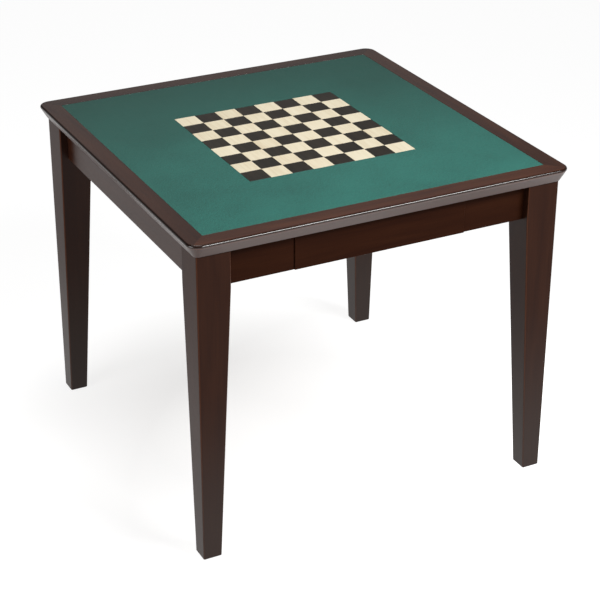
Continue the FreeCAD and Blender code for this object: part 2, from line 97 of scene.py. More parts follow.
@dataclass
class Skin:
    """Points and faces of a surface, kept as arrays until they become a mesh.

    Attributes:
        points: One row of three coordinates for each point.
        faces: Arrays of point numbers, one row for each face.
        wear_and_shade: From 1 on an edge rubbed pale, through 0, to -1 where shade is painted dark.
    """

    points: Array
    faces: list[Array]
    wear_and_shade: Array

    @classmethod
    def grid(cls, points: Array, closed: bool = False, wear_and_shade: Array | float = 0.0) -> Skin:
        """Joins rows and columns of points with four-cornered faces.

        A face goes from (row, column) to the next column, the next row and back,
        so it looks along the column direction crossed with the row direction.

        Args:
            points: Array of rows by columns by three coordinates.
            closed: Whether the last column is joined to the first.
            wear_and_shade: Rubbed share of the points, negative where shade is painted dark, spread over
                the grid.

        Returns:
            The skin of the grid.
        """
        rows, columns = points.shape[:2]
        numbers = np.arange(rows * columns).reshape(rows, columns)
        if closed:
            numbers = np.concatenate([numbers, numbers[:, :1]], axis=1)
        corners = [numbers[:-1, :-1], numbers[:-1, 1:], numbers[1:, 1:], numbers[1:, :-1]]
        quads = np.stack(corners, axis=-1).reshape(-1, 4)
        worn = np.broadcast_to(np.asarray(wear_and_shade, float), (rows, columns)).ravel()
        return cls(points.reshape(-1, 3), [quads], worn)

    @classmethod
    def column(cls, points: Array, wear_and_shade: Array | float = 0.0) -> Skin:
        """Closes a stack of rings, lowest first, with a face at both ends.

        Args:
            points: Array of rings by points by three coordinates, counterclockwise from above.
            wear_and_shade: Rubbed share of the points, negative where shade is painted dark, spread over
                the rings.

        Returns:
            The closed skin.
        """
        skin = cls.grid(points, closed=True, wear_and_shade=wear_and_shade)
        ring = np.arange(points.shape[1])
        last = ring + (points.shape[0] - 1) * points.shape[1]
        return cls(skin.points, skin.faces + [ring[None, ::-1], last[None]], skin.wear_and_shade)

    def __add__(self, other: Skin) -> Skin:
        """Both skins as one.

        Args:
            other: Skin whose points and faces follow this one's.

        Returns:
            The skin of both.
        """
        moved = [face + len(self.points) for face in other.faces]
        points = np.concatenate([self.points, other.points])
        return Skin(points, self.faces + moved, np.concatenate([self.wear_and_shade, other.wear_and_shade]))

    def carried(self, matrix: Array, offset: Array) -> Skin:
        """Copy turned and then moved; a mirrored copy keeps facing out.

        Args:
            matrix: Turn or mirror, three by three.
            offset: Move that follows it.

        Returns:
            The carried copy.
        """
        step = -1 if np.linalg.det(matrix) < 0 else 1
        faces = [face[:, ::step] for face in self.faces]
        return Skin(self.points @ matrix.T + np.asarray(offset, float), faces, self.wear_and_shade)

    def turned(self, degrees: float) -> Skin:
        """Copy turned about the table's middle axis.

        Args:
            degrees: Turn, counterclockwise from above.

        Returns:
            The turned copy.
        """
        angle = math.radians(degrees)
        c, s = math.cos(angle), math.sin(angle)
        return self.carried(np.array([[c, -s, 0], [s, c, 0], [0, 0, 1.0]]), np.zeros(3))

    def mirrored(self) -> Skin:
        """Copy mirrored from the right half to the left half."""
        return self.carried(np.diag([-1.0, 1.0, 1.0]), np.zeros(3))

    def at_corners(self) -> Skin:
        """A skin of the back right corner at every corner, as one skin."""
        return joined([self.turned(corner.value) for corner in Corner])

    def at_both_ends(self) -> Skin:
        """A skin of the front half and its copy half a turn round, as one skin."""
        return self + self.turned(180)

    def aimed(self, seat: Place, direction: Place) -> Skin:
        """Copy of a skin made along +Z, turned to a direction and moved to a seat."""
        turn = Vector((0, 0, 1)).rotation_difference(Vector(direction)).to_matrix()
        return self.carried(np.array(turn), np.array(seat))

    def repeated(self, offsets: Array) -> Skin:
        """Copies of the skin, as one skin.

        Args:
            offsets: One row of three coordinates for each copy.

        Returns:
            The skin of all the copies.
        """
        shift = np.arange(len(offsets))[:, None, None] * len(self.points)
        points = (self.points[None] + offsets[:, None]).reshape(-1, 3)
        faces = [(face[None] + shift).reshape(-1, face.shape[1]) for face in self.faces]
        return Skin(points, faces, np.tile(self.wear_and_shade, len(offsets)))

    def welded(self) -> Skin:
        """Merges points that coincide and drops the corners that collapse with them.

        A four-cornered face with one collapsed side becomes a triangle, and a face
        with fewer than three corners left goes.

        Returns:
            The skin with its seams and poles closed.
        """
        keys = np.round(self.points / WELD).astype(np.int64)
        first, number = np.unique(keys, axis=0, return_index=True, return_inverse=True)[1:]
        number = number.reshape(-1)
        faces = []
        for face in self.faces:
            corners = number[face]
            kept = corners != np.roll(corners, -1, axis=1)
            count = kept.sum(axis=1)
            for size in np.unique(count[count > 2]):
                chosen = count == size
                faces.append(corners[chosen][kept[chosen]].reshape(-1, size))
        return Skin(self.points[first], faces, self.wear_and_shade[first])

    def as_object(self, name: str) -> bpy.types.Object:
        """Makes the mesh and its object at the origin.

        Args:
            name: Name of the piece.

        Returns:
            The linked object, smooth except across sharp edges.
        """
        mesh = bpy.data.meshes.new(name)
        mesh.from_pydata(self.points.tolist(), [], [row for face in self.faces for row in face.tolist()])
        mesh.shade_smooth()
        mesh.set_sharp_from_angle(angle=SHARP_ANGLE)
        layer = mesh.attributes.new(WEAR_AND_SHADE_LAYER, "FLOAT", "POINT")
        layer.data.foreach_set("value", self.wear_and_shade.astype(np.float32))
        made = bpy.data.objects.new(name, mesh)
        bpy.context.scene.collection.objects.link(made)
        return made


def joined(skins: list[Skin]) -> Skin:
    """Several skins as one.

    Args:
        skins: Skins in the order of their points.

    Returns:
        The skin of all of them.
    """
    total = skins[0]
    for skin in skins[1:]:
        total = total + skin
    return total


def eased_board(low: Array, high: Array, radius: float, steps: int = 3) -> Skin:
    """Board with rounded edges.

    Each point of a grid on the plain box is drawn back to an inner box, smaller by the
    radius on every side, and pushed out by the radius along the line between the two.
    Grid lines near an edge lie at radius times the tangent of even angles.

    Args:
        low: Lowest corner.
        high: Highest corner.
        radius: Radius of the edges.
        steps: Grid steps from a flat to the middle of an edge.

    Returns:
        The closed skin, worn on its edges.
    """
    near = radius * (1 - np.tan(np.linspace(math.pi / 4, 0, steps + 1)))
    hold = 1.6 * radius
    lines = [
        np.concatenate([a + near, [a + hold, b - hold], b - near[::-1]]) for a, b in zip(low, high)
    ]
    grids = []
    for axis in range(3):
        for end, (row, column) in ((high, (2, 1)), (low, (1, 2))):
            row_axis, column_axis = (axis + row) % 3, (axis + column) % 3
            rows, columns = np.meshgrid(lines[row_axis], lines[column_axis], indexing="ij")
            plain = np.empty(rows.shape + (3,))
            plain[..., axis] = end[axis]
            plain[..., row_axis] = rows
            plain[..., column_axis] = columns
            inner = np.clip(plain, low + radius, high - radius)
            out = plain - inner
            out /= np.linalg.norm(out, axis=-1, keepdims=True)
            wear_and_shade = np.clip((1 - np.abs(out).max(axis=-1)) / (1 - math.sqrt(0.5)), 0, 1)
            grids.append(Skin.grid(inner + radius * out, wear_and_shade=wear_and_shade))
    return joined(grids).welded()


def arc_points(centre: Array, radius: float, angle: Array) -> Array:
    """Points of a circle: its centre plus the radius along each angle."""
    return centre + radius * np.stack([np.cos(angle), np.sin(angle)], axis=-1)


def saw(phase: Array) -> Array:
    """Triangle wave from 0 at whole numbers to 1 half way between them."""
    return 1 - np.abs(2 * (phase - np.floor(phase)) - 1)


def lathed(radii: Array, heights: Array, sides: int) -> Skin:
    """Solid of revolution about Z.

    Point (row, side) is at the row's radius and height, turned by side / sides of a full
    turn. Radii and heights may also change from side to side.

    Args:
        radii: Radius of each row, or of each row and side, lowest row first.
        heights: Height of each row, or of each row and side.
        sides: Number of sides of a full turn.

    Returns:
        The skin, closed at its poles and seams.
    """
    angle = np.arange(sides) * 2 * math.pi / sides
    radius = np.broadcast_to(radii.reshape(len(radii), -1), (len(radii), sides))
    height = np.broadcast_to(heights.reshape(len(heights), -1), (len(heights), sides))
    points = np.stack([radius * np.cos(angle), radius * np.sin(angle), height], axis=-1)
    return Skin.grid(points, closed=True).welded()


# Finishes


class Value:
    """Output of a shader node; arithmetic on it adds Math nodes."""

    def __init__(self, graph: Graph, socket: bpy.types.NodeSocket) -> None:
        """Wraps one output socket."""
        self.graph = graph
        self.socket = socket

    def _math(self, operation: str, first: Value | float, second: Value | float) -> Value:
        """One Math node on two values."""
        return self.graph.node("ShaderNodeMath", {"operation": operation}, {0: first, 1: second})

    def __add__(self, other: Value | float) -> Value:
        """Sum."""
        return self._math("ADD", self, other)

    def __sub__(self, other: Value | float) -> Value:
        """Difference."""
        return self._math("SUBTRACT", self, other)

    def __rsub__(self, other: Value | float) -> Value:
        """Difference from a number."""
        return self._math("SUBTRACT", other, self)

    def __mul__(self, other: Value | float) -> Value:
        """Product."""
        return self._math("MULTIPLY", self, other)

    def __truediv__(self, other: Value | float) -> Value:
        """Quotient."""
        return self._math("DIVIDE", self, other)

    __radd__ = __add__
    __rmul__ = __mul__


class Graph:
    """Node tree of one material or of the sky."""

    def __init__(self, owner: bpy.types.Material | bpy.types.World) -> None:
        """Starts an empty node tree.

        Args:
            owner: Material or sky that holds the tree.
        """
        owner.use_nodes = True
        self.owner = owner
        self.tree = owner.node_tree
        self.tree.nodes.clear()

    @classmethod
    def finish(cls, name: str) -> Graph:
        """Starts the node tree of a new material."""
        return cls(bpy.data.materials.new(name))

    def node(
        self, kind: str, settings: dict[str, object], sockets: dict[object, object],
        output: str | int = 0,
    ) -> Value:
        """Adds a node, sets it and joins it.

        Args:
            kind: Blender's type of the node.
            settings: Its properties, set first; stops are those of a colour ramp.
            sockets: Values or links of its inputs.
            output: Output that is given back.

        Returns:
            The chosen output.
        """
        made = self.tree.nodes.new(kind)
        for name, setting in settings.items():
            if name == "stops":
                self._stops(made.color_ramp, setting)
            else:
                setattr(made, name, setting)
        for name, value in sockets.items():
            if isinstance(value, Value):
                self.tree.links.new(value.socket, made.inputs[name])
            else:
                made.inputs[name].default_value = value
        return Value(self, made.outputs[output])

    @staticmethod
    def _stops(ramp: bpy.types.ColorRamp, stops: list[tuple[float, Colour]]) -> None:
        """Sets the stops of a colour ramp.

        Args:
            ramp: Colour ramp of a node.
            stops: Rising positions, each with its colour.
        """
        while len(ramp.elements) < len(stops):
            ramp.elements.new(1.0)
        for element, (position, colour) in zip(ramp.elements, stops):
            element.position = position
            element.color = colour

    def coordinates(self, turn: Place = (0.0, 0.0, 0.0), shift: Place = (0.0, 0.0, 0.0)) -> Value:
        """Object coordinates, turned and shifted by a Mapping node."""
        place = self.node("ShaderNodeTexCoord", {}, {}, "Object")
        return self.node("ShaderNodeMapping", {}, {"Vector": place, "Rotation": turn, "Location": shift})

    def vector(self, operation: str, first: Value, second: Value | Place) -> Value:
        """One Vector Math node on two vectors."""
        return self.node("ShaderNodeVectorMath", {"operation": operation}, {0: first, 1: second})

    def measure(self, operation: str, first: Value, second: Place) -> Value:
        """One Vector Math node on two vectors that gives a number."""
        return self.node("ShaderNodeVectorMath", {"operation": operation}, {0: first, 1: second}, 1)

    def part(self, vector: Value, axis: str) -> Value:
        """One coordinate of a vector."""
        return self.node("ShaderNodeSeparateXYZ", {}, {"Vector": vector}, axis)

    def noise(self, place: Value, scale: float, detail: float = 2.0, swirl: float = 0.0) -> Value:
        """Noise from about 0.2 to 0.8 at a number of lumps to the metre."""
        sockets = {"Vector": place, "Scale": scale, "Detail": detail, "Distortion": swirl}
        return self.node("ShaderNodeTexNoise", {}, sockets, "Fac")

    def streaks(
        self, place: Value, stretch: Place, scale: float, detail: float = 2.0, swirl: float = 0.0
    ) -> Value:
        """Noise whose lumps are drawn out along the axes where the stretch is under 1."""
        return self.noise(self.vector("MULTIPLY", place, stretch), scale, detail, swirl)

    def waves(self, place: Value, kind: str, axis: str, sockets: dict[str, float]) -> Value:
        """Wave texture of bands along an axis, or of rings about it."""
        settings = {"wave_type": kind, kind.lower() + "_direction": axis}
        return self.node("ShaderNodeTexWave", settings, {"Vector": place, **sockets}, "Fac")

    def ramp(self, value: Value, stops: list[tuple[float, Colour]]) -> Value:
        """Colour ramp over a value."""
        return self.node("ShaderNodeValToRGB", {"stops": stops}, {"Fac": value})

    def course(self, value: Value, stops: Stops) -> Value:
        """Grey that follows straight lines between stops.

        Args:
            value: Value that the stops lie along.
            stops: Rising values, each with its level.

        Returns:
            The grey.
        """
        low, high = stops[0][0], stops[-1][0]
        levels = [((at - low) / (high - low), (level, level, level, 1.0)) for at, level in stops]
        return self.ramp((value - low) / (high - low), levels)

    def step(self, value: Value, start: float, end: float) -> Value:
        """Value from 0 at start to 1 at end, smooth between them."""
        settings = {"interpolation_type": "SMOOTHSTEP"}
        return self.node(
            "ShaderNodeMapRange", settings, {"Value": value, "From Min": start, "From Max": end}
        )

    def mix(self, share: Value | float, first: object, second: object, blend: str = "MIX") -> Value:
        """Mix of two colours by a share."""
        settings = {"data_type": "RGBA", "blend_type": blend}
        return self.node("ShaderNodeMix", settings, {0: share, 6: first, 7: second}, 2)

    def layer(self, name: str) -> Value:
        """Attribute of the mesh by its name."""
        return self.node("ShaderNodeAttribute", {"attribute_name": name}, {}, "Fac")

    def bump(self, height: Value, strength: float, distance: float) -> Value:
        """Bump of a height."""
        return self.node(
            "ShaderNodeBump", {}, {"Height": height, "Strength": strength, "Distance": distance}
        )

    def surface(self, sockets: dict[str, object]) -> bpy.types.Material:
        """Ends the tree with one surface shader.

        Args:
            sockets: Values or links of the shader's inputs.

        Returns:
            The material.
        """
        shader = self.node("ShaderNodeBsdfPrincipled", {}, sockets)
        self.end("ShaderNodeOutputMaterial", shader)
        return self.owner

    def end(self, kind: str, shader: Value) -> None:
        """Joins a shader to an output node of a kind."""
        output = self.tree.nodes.new(kind)
        self.tree.links.new(shader.socket, output.inputs["Surface"])


def shade(red: float, green: float, blue: float) -> Colour:
    """Linear colour of a paint card, by the usual curve of screen colours.

    Args:
        red: Red of the card, 0 to 255.
        green: Green of the card.
        blue: Blue of the card.

    Returns:
        The opaque colour.
    """
    card = np.array([red, green, blue]) / 255
    linear = np.where(card <= 0.04045, card / 12.92, ((card + 0.055) / 1.055) ** 2.4)
    return (float(linear[0]), float(linear[1]), float(linear[2]), 1.0)


def dimmed(colour: Colour, share: float) -> Colour:
    """A colour at a share of its brightness."""
    return tuple(share * part for part in colour[:3]) + (1.0,)


class Polish(Enum):
    """Refraction and base roughness of a clear lacquer."""

    rubbed_out = (1.50, 0.13)
    half_gloss = (1.29, 0.26)
    satin = (1.18, 0.26)
    matt = (1.08, 0.30)


@dataclass(frozen=True)
class DarkLacquer:
    """Hardwood under a dark staining and clear lacquer.

    Colours come first among the fields that no piece sets, then the scales of the patterns
    in lumps to the metre, how strongly each colour is laid over the wood, and the height
    over which the dull part sets in, with the roughness that it adds.

    Attributes:
        name: Name of the material.
        grain: Direction of the wood's grain.
        polish: Gloss of the lacquer.
        stain_and_light: Brightness that the staining and painted light give the wood, as a share of its
            plain colours.
        rubbed_above: Height from which the lacquer is rubbed to its gloss; below, duller and darker.
        contrast: Strength of the wood's figure.
        floor_reflection_below: Height under which the finish greys towards the floor, a painted
            reflection of the bright floor.
    """

    name: str
    grain: Grain
    polish: Polish
    stain_and_light: float = 1.0
    rubbed_above: float = 0.0
    contrast: float = 1.0
    floor_reflection_below: float = 450.0 * MM
    deep: Colour = shade(42, 20, 12)
    body: Colour = shade(50, 25, 14)
    lively: Colour = shade(57, 30, 17)
    rubbed: Colour = shade(112, 66, 44)
    # Painted shade: the dark laid on the noses and on the legs' inner faces.
    dark_shade_paint: Colour = shade(16, 9, 7)
    # Painted reflection of the bright floor: the grey that the legs take on low down.
    paler_grey: Colour = shade(60, 56, 54)
    figure_scale: float = 42.0
    fibre_scale: float = 430.0
    pore_scale: float = 1500.0
    ripple_scale: float = 90.0
    pore_share: float = 0.20
    rubbed_share: float = 0.30
    dark_shade_share: float = 0.85
    dull_share: float = 0.75
    floor_reflection_share: float = 0.50
    dull_fade: float = 2.0 * MM
    dull_roughness: float = 0.15

    def under_stain_and_light(self, colour: Colour) -> Colour:
        """A colour of the wood under its staining and painted light."""
        return dimmed(colour, self.stain_and_light)

    def material(self) -> bpy.types.Material:
        """Faint streaks and pores along the grain, rubbed edges, painted shade on the noses and the
        legs' inner faces, a painted floor reflection low on the legs, polish that varies a little.

        Returns:
            The material.
        """
        graph = Graph.finish(self.name)
        place = graph.coordinates(self.grain.value)
        figure = graph.streaks(place, (0.10, 1, 1), self.figure_scale, 3, 0.7)
        fibre = graph.streaks(place, (0.025, 1, 1), self.fibre_scale, 4)
        pores = graph.step(graph.streaks(place, (0.035, 1, 1), self.pore_scale), 0.42, 0.34)
        tone = 0.5 + self.contrast * (figure * 0.7 + fibre * 0.3 - 0.5)
        tones = zip((0.24, 0.50, 0.76), (self.deep, self.body, self.lively))
        wood = graph.ramp(tone, [(level, self.under_stain_and_light(colour)) for level, colour in tones])
        wood = graph.mix(pores * self.pore_share, wood, self.under_stain_and_light(self.deep))
        edge = graph.layer(WEAR_AND_SHADE_LAYER)
        wood = graph.mix(graph.step(edge, 0.0, 1.0) * self.rubbed_share, wood, self.rubbed)
        # Painted shade: where the edge layer is negative, on the noses and the legs' inner faces, the
        # wood is darkened.
        wood = graph.mix(graph.step(edge, 0.0, -1.0) * self.dark_shade_share, wood, self.dark_shade_paint)
        level = graph.part(graph.coordinates(), "Z")
        dull = graph.step(level, self.rubbed_above, self.rubbed_above - self.dull_fade)
        wood = graph.mix(dull * self.dull_share, wood, self.deep)
        # Painted reflection of the floor: the finish greys towards it below the given height.
        paler_mask = graph.step(level, self.floor_reflection_below, 0.0)
        wood = graph.mix(paler_mask * self.floor_reflection_share, wood, self.paler_grey)
        ripple = graph.noise(place, self.ripple_scale)
        height = ripple * 0.7 + fibre * 0.15 - pores * 0.2
        index, roughness = self.polish.value
        return graph.surface({
            "Base Color": wood,
            "Roughness": roughness + 0.06 * fibre + 0.08 * pores + self.dull_roughness * dull,
            "IOR": index,
            "Normal": graph.bump(height, 0.06, 0.0004),
        })


@dataclass(frozen=True)
class BareWood:
    """Pale unfinished hardwood of the frame inside and of the drawer boxes."""

    grain: Grain
    pale: Colour = shade(216, 186, 142)
    body: Colour = shade(198, 162, 114)
    dark: Colour = shade(168, 126, 82)
    pith: Place = (0.0, 0.31, 0.17)
    bend_scale: float = 5.0
    ring_scale: float = 26.0
    fibre_scale: float = 520.0
    pore_scale: float = 1300.0

    def material(self) -> bpy.types.Material:
        """Growth rings cut along the grain, fine fibres and short pores.

        Returns:
            The material.
        """
        graph = Graph.finish("bare_wood_" + self.grain.name)
        place = graph.coordinates(self.grain.value, self.pith)
        bent = graph.streaks(place, (0.5, 1, 1), self.bend_scale)
        rings = graph.waves(
            graph.vector("MULTIPLY", place, (0.06, 1, 1)), "RINGS", "X",
            {"Scale": self.ring_scale, "Distortion": 3.0, "Detail": 2.0, "Detail Scale": 2.0},
        )
        fibre = graph.streaks(place, (0.02, 1, 1), self.fibre_scale, 4)
        pores = graph.step(graph.streaks(place, (0.05, 1, 1), self.pore_scale, 1), 0.38, 0.30)
        tone = rings * 0.40 + fibre * 0.38 + bent * 0.30
        wood = graph.ramp(tone, [(0.25, self.pale), (0.55, self.body), (0.85, self.dark)])
        wood = graph.mix(pores * 0.5, wood, self.dark)
        height = fibre * 0.6 - pores
        return graph.surface({
            "Base Color": wood,
            "Roughness": 0.52 + 0.20 * fibre,
            "Specular IOR Level": 0.35,
            "Normal": graph.bump(height, 0.25, 0.0003),
        })


@dataclass(frozen=True)
class ThinPly:
    """Rotary-cut plywood of the drawer bottoms."""

    pale: Colour = shade(214, 184, 140)
    dark: Colour = shade(176, 134, 88)
    figure_scale: float = 9.0
    fibre_scale: float = 600.0

    def material(self) -> bpy.types.Material:
        """Wide wavy figure of peeled veneer with fine fibres across the drawer.

        Returns:
            The material.
        """
        graph = Graph.finish("thin_ply")
        place = graph.coordinates()
        drift = graph.streaks(place, (0.25, 1, 1), self.figure_scale, 2, 1.2)
        waves = graph.waves(
            graph.vector("MULTIPLY", place, (0.22, 1, 1)), "BANDS", "Y",
            {"Scale": self.figure_scale, "Distortion": 9.0, "Detail": 2.0, "Detail Scale": 1.2},
        )
        fibre = graph.streaks(place, (0.02, 1, 1), self.fibre_scale, 3)
        tone = waves * 0.42 + fibre * 0.36 + drift * 0.3
        wood = graph.ramp(tone, [(0.28, self.pale), (0.86, self.dark)])
        return graph.surface({
            "Base Color": wood,
            "Roughness": 0.50 + 0.16 * fibre,
            "Specular IOR Level": 0.35,
            "Normal": graph.bump(fibre, 0.18, 0.0002),
        })


@dataclass(frozen=True)
class PressedBoard:
    """Medium brown fibre board of the core and its battens."""

    light: Colour = shade(176, 140, 98)
    dark: Colour = shade(132, 98, 64)
    cloud_scale: float = 24.0
    speck_scale: float = 420.0
    fluff_scale: float = 1500.0

    def material(self) -> bpy.types.Material:
        """Fibre specks of three sizes in no direction.

        Returns:
            The material.
        """
        graph = Graph.finish("pressed_board")
        place = graph.coordinates()
        cloud = graph.noise(place, self.cloud_scale, 3)
        specks = graph.noise(place, self.speck_scale, 3, 0.6)
        fluff = graph.noise(place, self.fluff_scale)
        tone = cloud * 0.3 + specks * 0.4 + fluff * 0.3
        return graph.surface({
            "Base Color": graph.ramp(tone, [(0.35, self.dark), (0.65, self.light)]),
            "Roughness": 0.66 + 0.2 * fluff,
            "Specular IOR Level": 0.25,
            "Normal": graph.bump(fluff, 0.2, 0.0002),
        })


@dataclass(frozen=True)
class Baize:
    """Green woollen cloth with a short raised pile."""

    deep: Colour = shade(29, 67, 61)
    body: Colour = shade(43, 113, 103)
    bright: Colour = shade(60, 130, 118)
    sheen: Colour = shade(190, 200, 190)
    # Painted shade: the direction, half width and share of the darkening towards the back.
    back_shade_axis: Place = (0.0, 1.0, 0.0)
    back_shade_half: float = 0.45
    back_shade_share: float = 0.80
    cloud_scale: float = 6.0
    brushed_scale: float = 900.0
    fluff_scale: float = 2600.0
    thread_scale: float = 210.0

    def material(self) -> bpy.types.Material:
        """Raised fibres lying one way over a faint weave, and painted shade that darkens the cloth
        towards the back.

        Returns:
            The material.
        """
        graph = Graph.finish("baize")
        place = graph.coordinates()
        cloud = graph.noise(place, self.cloud_scale, 3)
        brushed = graph.streaks(place, (1, 0.22, 1), self.brushed_scale, 3)
        fluff = graph.noise(place, self.fluff_scale)
        thread = {"Scale": self.thread_scale, "Distortion": 1.5, "Detail": 1.0}
        weave = graph.waves(place, "BANDS", "X", thread) * graph.waves(place, "BANDS", "Y", thread)
        tone = brushed * 0.40 + fluff * 0.36 + cloud * 0.18 + weave * 0.10
        cloth = graph.ramp(tone, [(0.34, self.deep), (0.52, self.body), (0.70, self.bright)])
        # Painted shade: the cloth darkens towards the back.
        back_shade = graph.step(graph.measure("DOT_PRODUCT", place, self.back_shade_axis), -self.back_shade_half, self.back_shade_half)
        cloth = graph.mix(back_shade * self.back_shade_share, cloth, self.deep)
        return graph.surface({
            "Base Color": cloth,
            "Roughness": 0.86 + 0.12 * fluff,
            "Specular IOR Level": 0.12,
            "Sheen Weight": 0.22,
            "Sheen Roughness": 0.45,
            "Sheen Tint": self.sheen,
            "Normal": graph.bump(brushed * 0.5 + fluff * 0.5 + weave * 0.25, 0.55, 0.0006),
        })


@dataclass(frozen=True)
class BoardVeneer:
    """Thin veneer of the board's squares under a satin coat."""

    name: str
    pale: Colour
    body: Colour
    dark: Colour
    contrast: float
    square: float = 50.8 * MM
    figure_scale: float = 120.0
    fibre_scale: float = 900.0
    spread_of_tones: float = 0.16
    coat_index: float = 1.38

    def material(self) -> bpy.types.Material:
        """Fine straight grain; each square has its own tone, cut from its own place in the leaf.

        Returns:
            The material.
        """
        graph = Graph.finish(self.name)
        place = graph.coordinates()
        cell = graph.vector("SNAP", place, (self.square, self.square, 1.0))
        leaf, own_tone = (
            graph.node("ShaderNodeTexWhiteNoise", {"noise_dimensions": "3D"}, {"Vector": cell}, output)
            for output in ("Color", "Value")
        )
        cut = graph.vector("ADD", place, leaf)
        figure = graph.streaks(cut, (1, 0.08, 1), self.figure_scale, 3, 0.5)
        fibre = graph.streaks(cut, (1, 0.02, 1), self.fibre_scale, 3)
        tone = 0.5 + self.contrast * (figure * 0.6 + fibre * 0.4 - 0.5)
        tone = tone + self.spread_of_tones * (own_tone - 0.5)
        wood = graph.ramp(tone, [(0.2, self.dark), (0.5, self.body), (0.8, self.pale)])
        return graph.surface({
            "Base Color": wood,
            "Roughness": 0.30 + 0.16 * fibre,
            "IOR": self.coat_index,
            "Normal": graph.bump(fibre, 0.06, 0.0002),
        })


@dataclass(frozen=True)
class ZincSteel:
    """Zinc-plated steel of the fasteners and brackets."""

    light: Colour = shade(206, 208, 210)
    dull: Colour = shade(150, 152, 156)
    patch_scale: float = 160.0
    scratch_scale: float = 1800.0

    def material(self) -> bpy.types.Material:
        """Patches of brighter and duller plating with fine scratches.

        Returns:
            The material.
        """
        graph = Graph.finish("zinc_steel")
        place = graph.coordinates()
        patches = graph.noise(place, self.patch_scale, 3, 0.4)
        scratches = graph.streaks(place, (1, 0.1, 0.4), self.scratch_scale)
        return graph.surface({
            "Base Color": graph.ramp(patches, [(0.35, self.dull), (0.65, self.light)]),
            "Metallic": 1.0,
            "Roughness": 0.26 + 0.24 * patches + 0.08 * scratches,
            "Normal": graph.bump(scratches, 0.08, 0.0001),
        })


@dataclass(frozen=True)
class Nylon:
    """Dark moulded nylon of the foot glides."""

    body: Colour = shade(52, 44, 40)
    paler_grey: Colour = shade(112, 104, 98)
    scuff_scale: float = 700.0
    skin_scale: float = 2500.0

    def material(self) -> bpy.types.Material:
        """Matt moulded skin with pale scuff marks.

        Returns:
            The material.
        """
        graph = Graph.finish("glide_nylon")
        place = graph.coordinates()
        paler_mask = graph.step(graph.noise(place, self.scuff_scale, 4, 1.0), 0.56, 0.70)
        skin = graph.noise(place, self.skin_scale)
        return graph.surface({
            "Base Color": graph.mix(paler_mask * 0.6, self.body, self.paler_grey),
            "Roughness": 0.45 + 0.2 * skin + 0.2 * paler_mask,
            "Normal": graph.bump(skin, 0.1, 0.0002),
        })


class Finishes:
    """Every finish of the table, made once.

    Attributes:
        border_stain_and_light: Staining of each border rail; its differences from side to side are
            partly painted light.
        border_contrast: Strength of the border's figure.
        rubbed_depth: Depth under the table's top to which the border is rubbed to its gloss.
        frame_coats_and_light: Polish and staining of the front and back boards, the side aprons and the
            legs; the staining differs between them partly as painted light.
    """

    # Partly painted light: each side's staining also holds the light that falls on that side.
    border_stain_and_light: dict[Side, float] = {
        Side.front: 2.10, Side.left: 1.32, Side.right: 1.42, Side.back: 1.05,
    }
    border_contrast: float = 1.7
    rubbed_depth: float = 7.0 * MM
    frame_coats_and_light: dict[Grain, tuple[Polish, float]] = {
        Grain.along_x: (Polish.matt, 0.72), Grain.along_y: (Polish.half_gloss, 0.90),
        Grain.along_z: (Polish.satin, 0.80),
    }

    def __init__(self) -> None:
        """Makes all the materials."""
        rubbed_above = PLANES.height - self.rubbed_depth
        self.border_lacquer = {
            side: DarkLacquer(
                side.name + "_border_lacquer", side.grain, Polish.rubbed_out, stain_and_light, rubbed_above,
                self.border_contrast,
            ).material()
            for side, stain_and_light in self.border_stain_and_light.items()
        }
        self.frame_lacquer = {
            grain: DarkLacquer("frame_lacquer_" + grain.name, grain, polish, stain_and_light).material()
            for grain, (polish, stain_and_light) in self.frame_coats_and_light.items()
        }
        self.bare_wood = {grain: BareWood(grain).material() for grain in Grain}
        self.thin_ply = ThinPly().material()
        self.pressed_board = PressedBoard().material()
        self.baize = Baize().material()
        self.light_veneer = BoardVeneer(
            "light_veneer", shade(243, 234, 209), shade(234, 222, 193), shade(214, 196, 162), 0.8
        ).material()
        self.dark_veneer = BoardVeneer(
            "dark_veneer", shade(51, 43, 32), shade(35, 29, 21), shade(22, 18, 13), 1.2
        ).material()
        self.zinc_steel = ZincSteel().material()
        self.glide_nylon = Nylon().material()


# Pieces


def add_piece(
    name: str, skin: Skin, material: bpy.types.Material, stands_for: list[str],
    body: str = TABLE,
) -> bpy.types.Object:
    """Makes a piece, dresses it and ties it to its body.

    Args:
        name: Name of the piece.
        skin: Its surface.
        material: Its finish.
        stands_for: CAD nodes that it replaces.
        body: CAD body that it rides on.

    Returns:
        The piece's object.
    """
    piece = skin.as_object(name)
    piece.data.materials.append(material)
    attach(piece, body)
    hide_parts(*stands_for)
    LOG.info("%s: %d points, rides on %s", name, len(skin.points), body)
    return piece


def dress(node: str, material: bpy.types.Material) -> None:
    """Gives a CAD node that stays its finish.

    Args:
        node: Name of the node.
        material: Its finish.
    """
    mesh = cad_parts[node].data
    mesh.materials.clear()
    mesh.materials.append(material)
    LOG.info("%s: solid kept, finish %s", node, material.name)


@dataclass(frozen=True)
class Planes:
    """Levels and planes that the assemblies share."""

    top_half: float = 450.85 * MM
    height: float = 762.0 * MM
    under_top: float = 730.0 * MM
    core_bottom: float = 742.5 * MM
    apron_bottom: float = 645.0 * MM
    leg_outer: float = 431.8 * MM
    leg_inner: float = 355.6 * MM
    leg_flat: float = 12.0 * MM
    apron_inner: float = 390.8 * MM
    apron_thickness: float = 22.0 * MM
    opening_half: float = 204.7 * MM
    rail_thickness: float = 22.0 * MM
    block_thickness: float = 24.0 * MM
    block_middle: float = 692.0 * MM
    screw_cover: float = 1.5 * MM

    @property
    def block_outer(self) -> float:
        """Sum of x and y on the outer face of a corner block."""
        return 2 * self.leg_inner + self.leg_flat

    @property
    def block_inner(self) -> float:
        """Sum of x and y on the inner face of a corner block."""
        return self.block_outer - self.block_thickness * math.sqrt(2)

    @property
    def batten_thickness(self) -> float:
        """Height of the battens between the frame and the core."""
        return self.core_bottom - self.under_top


PLANES = Planes()


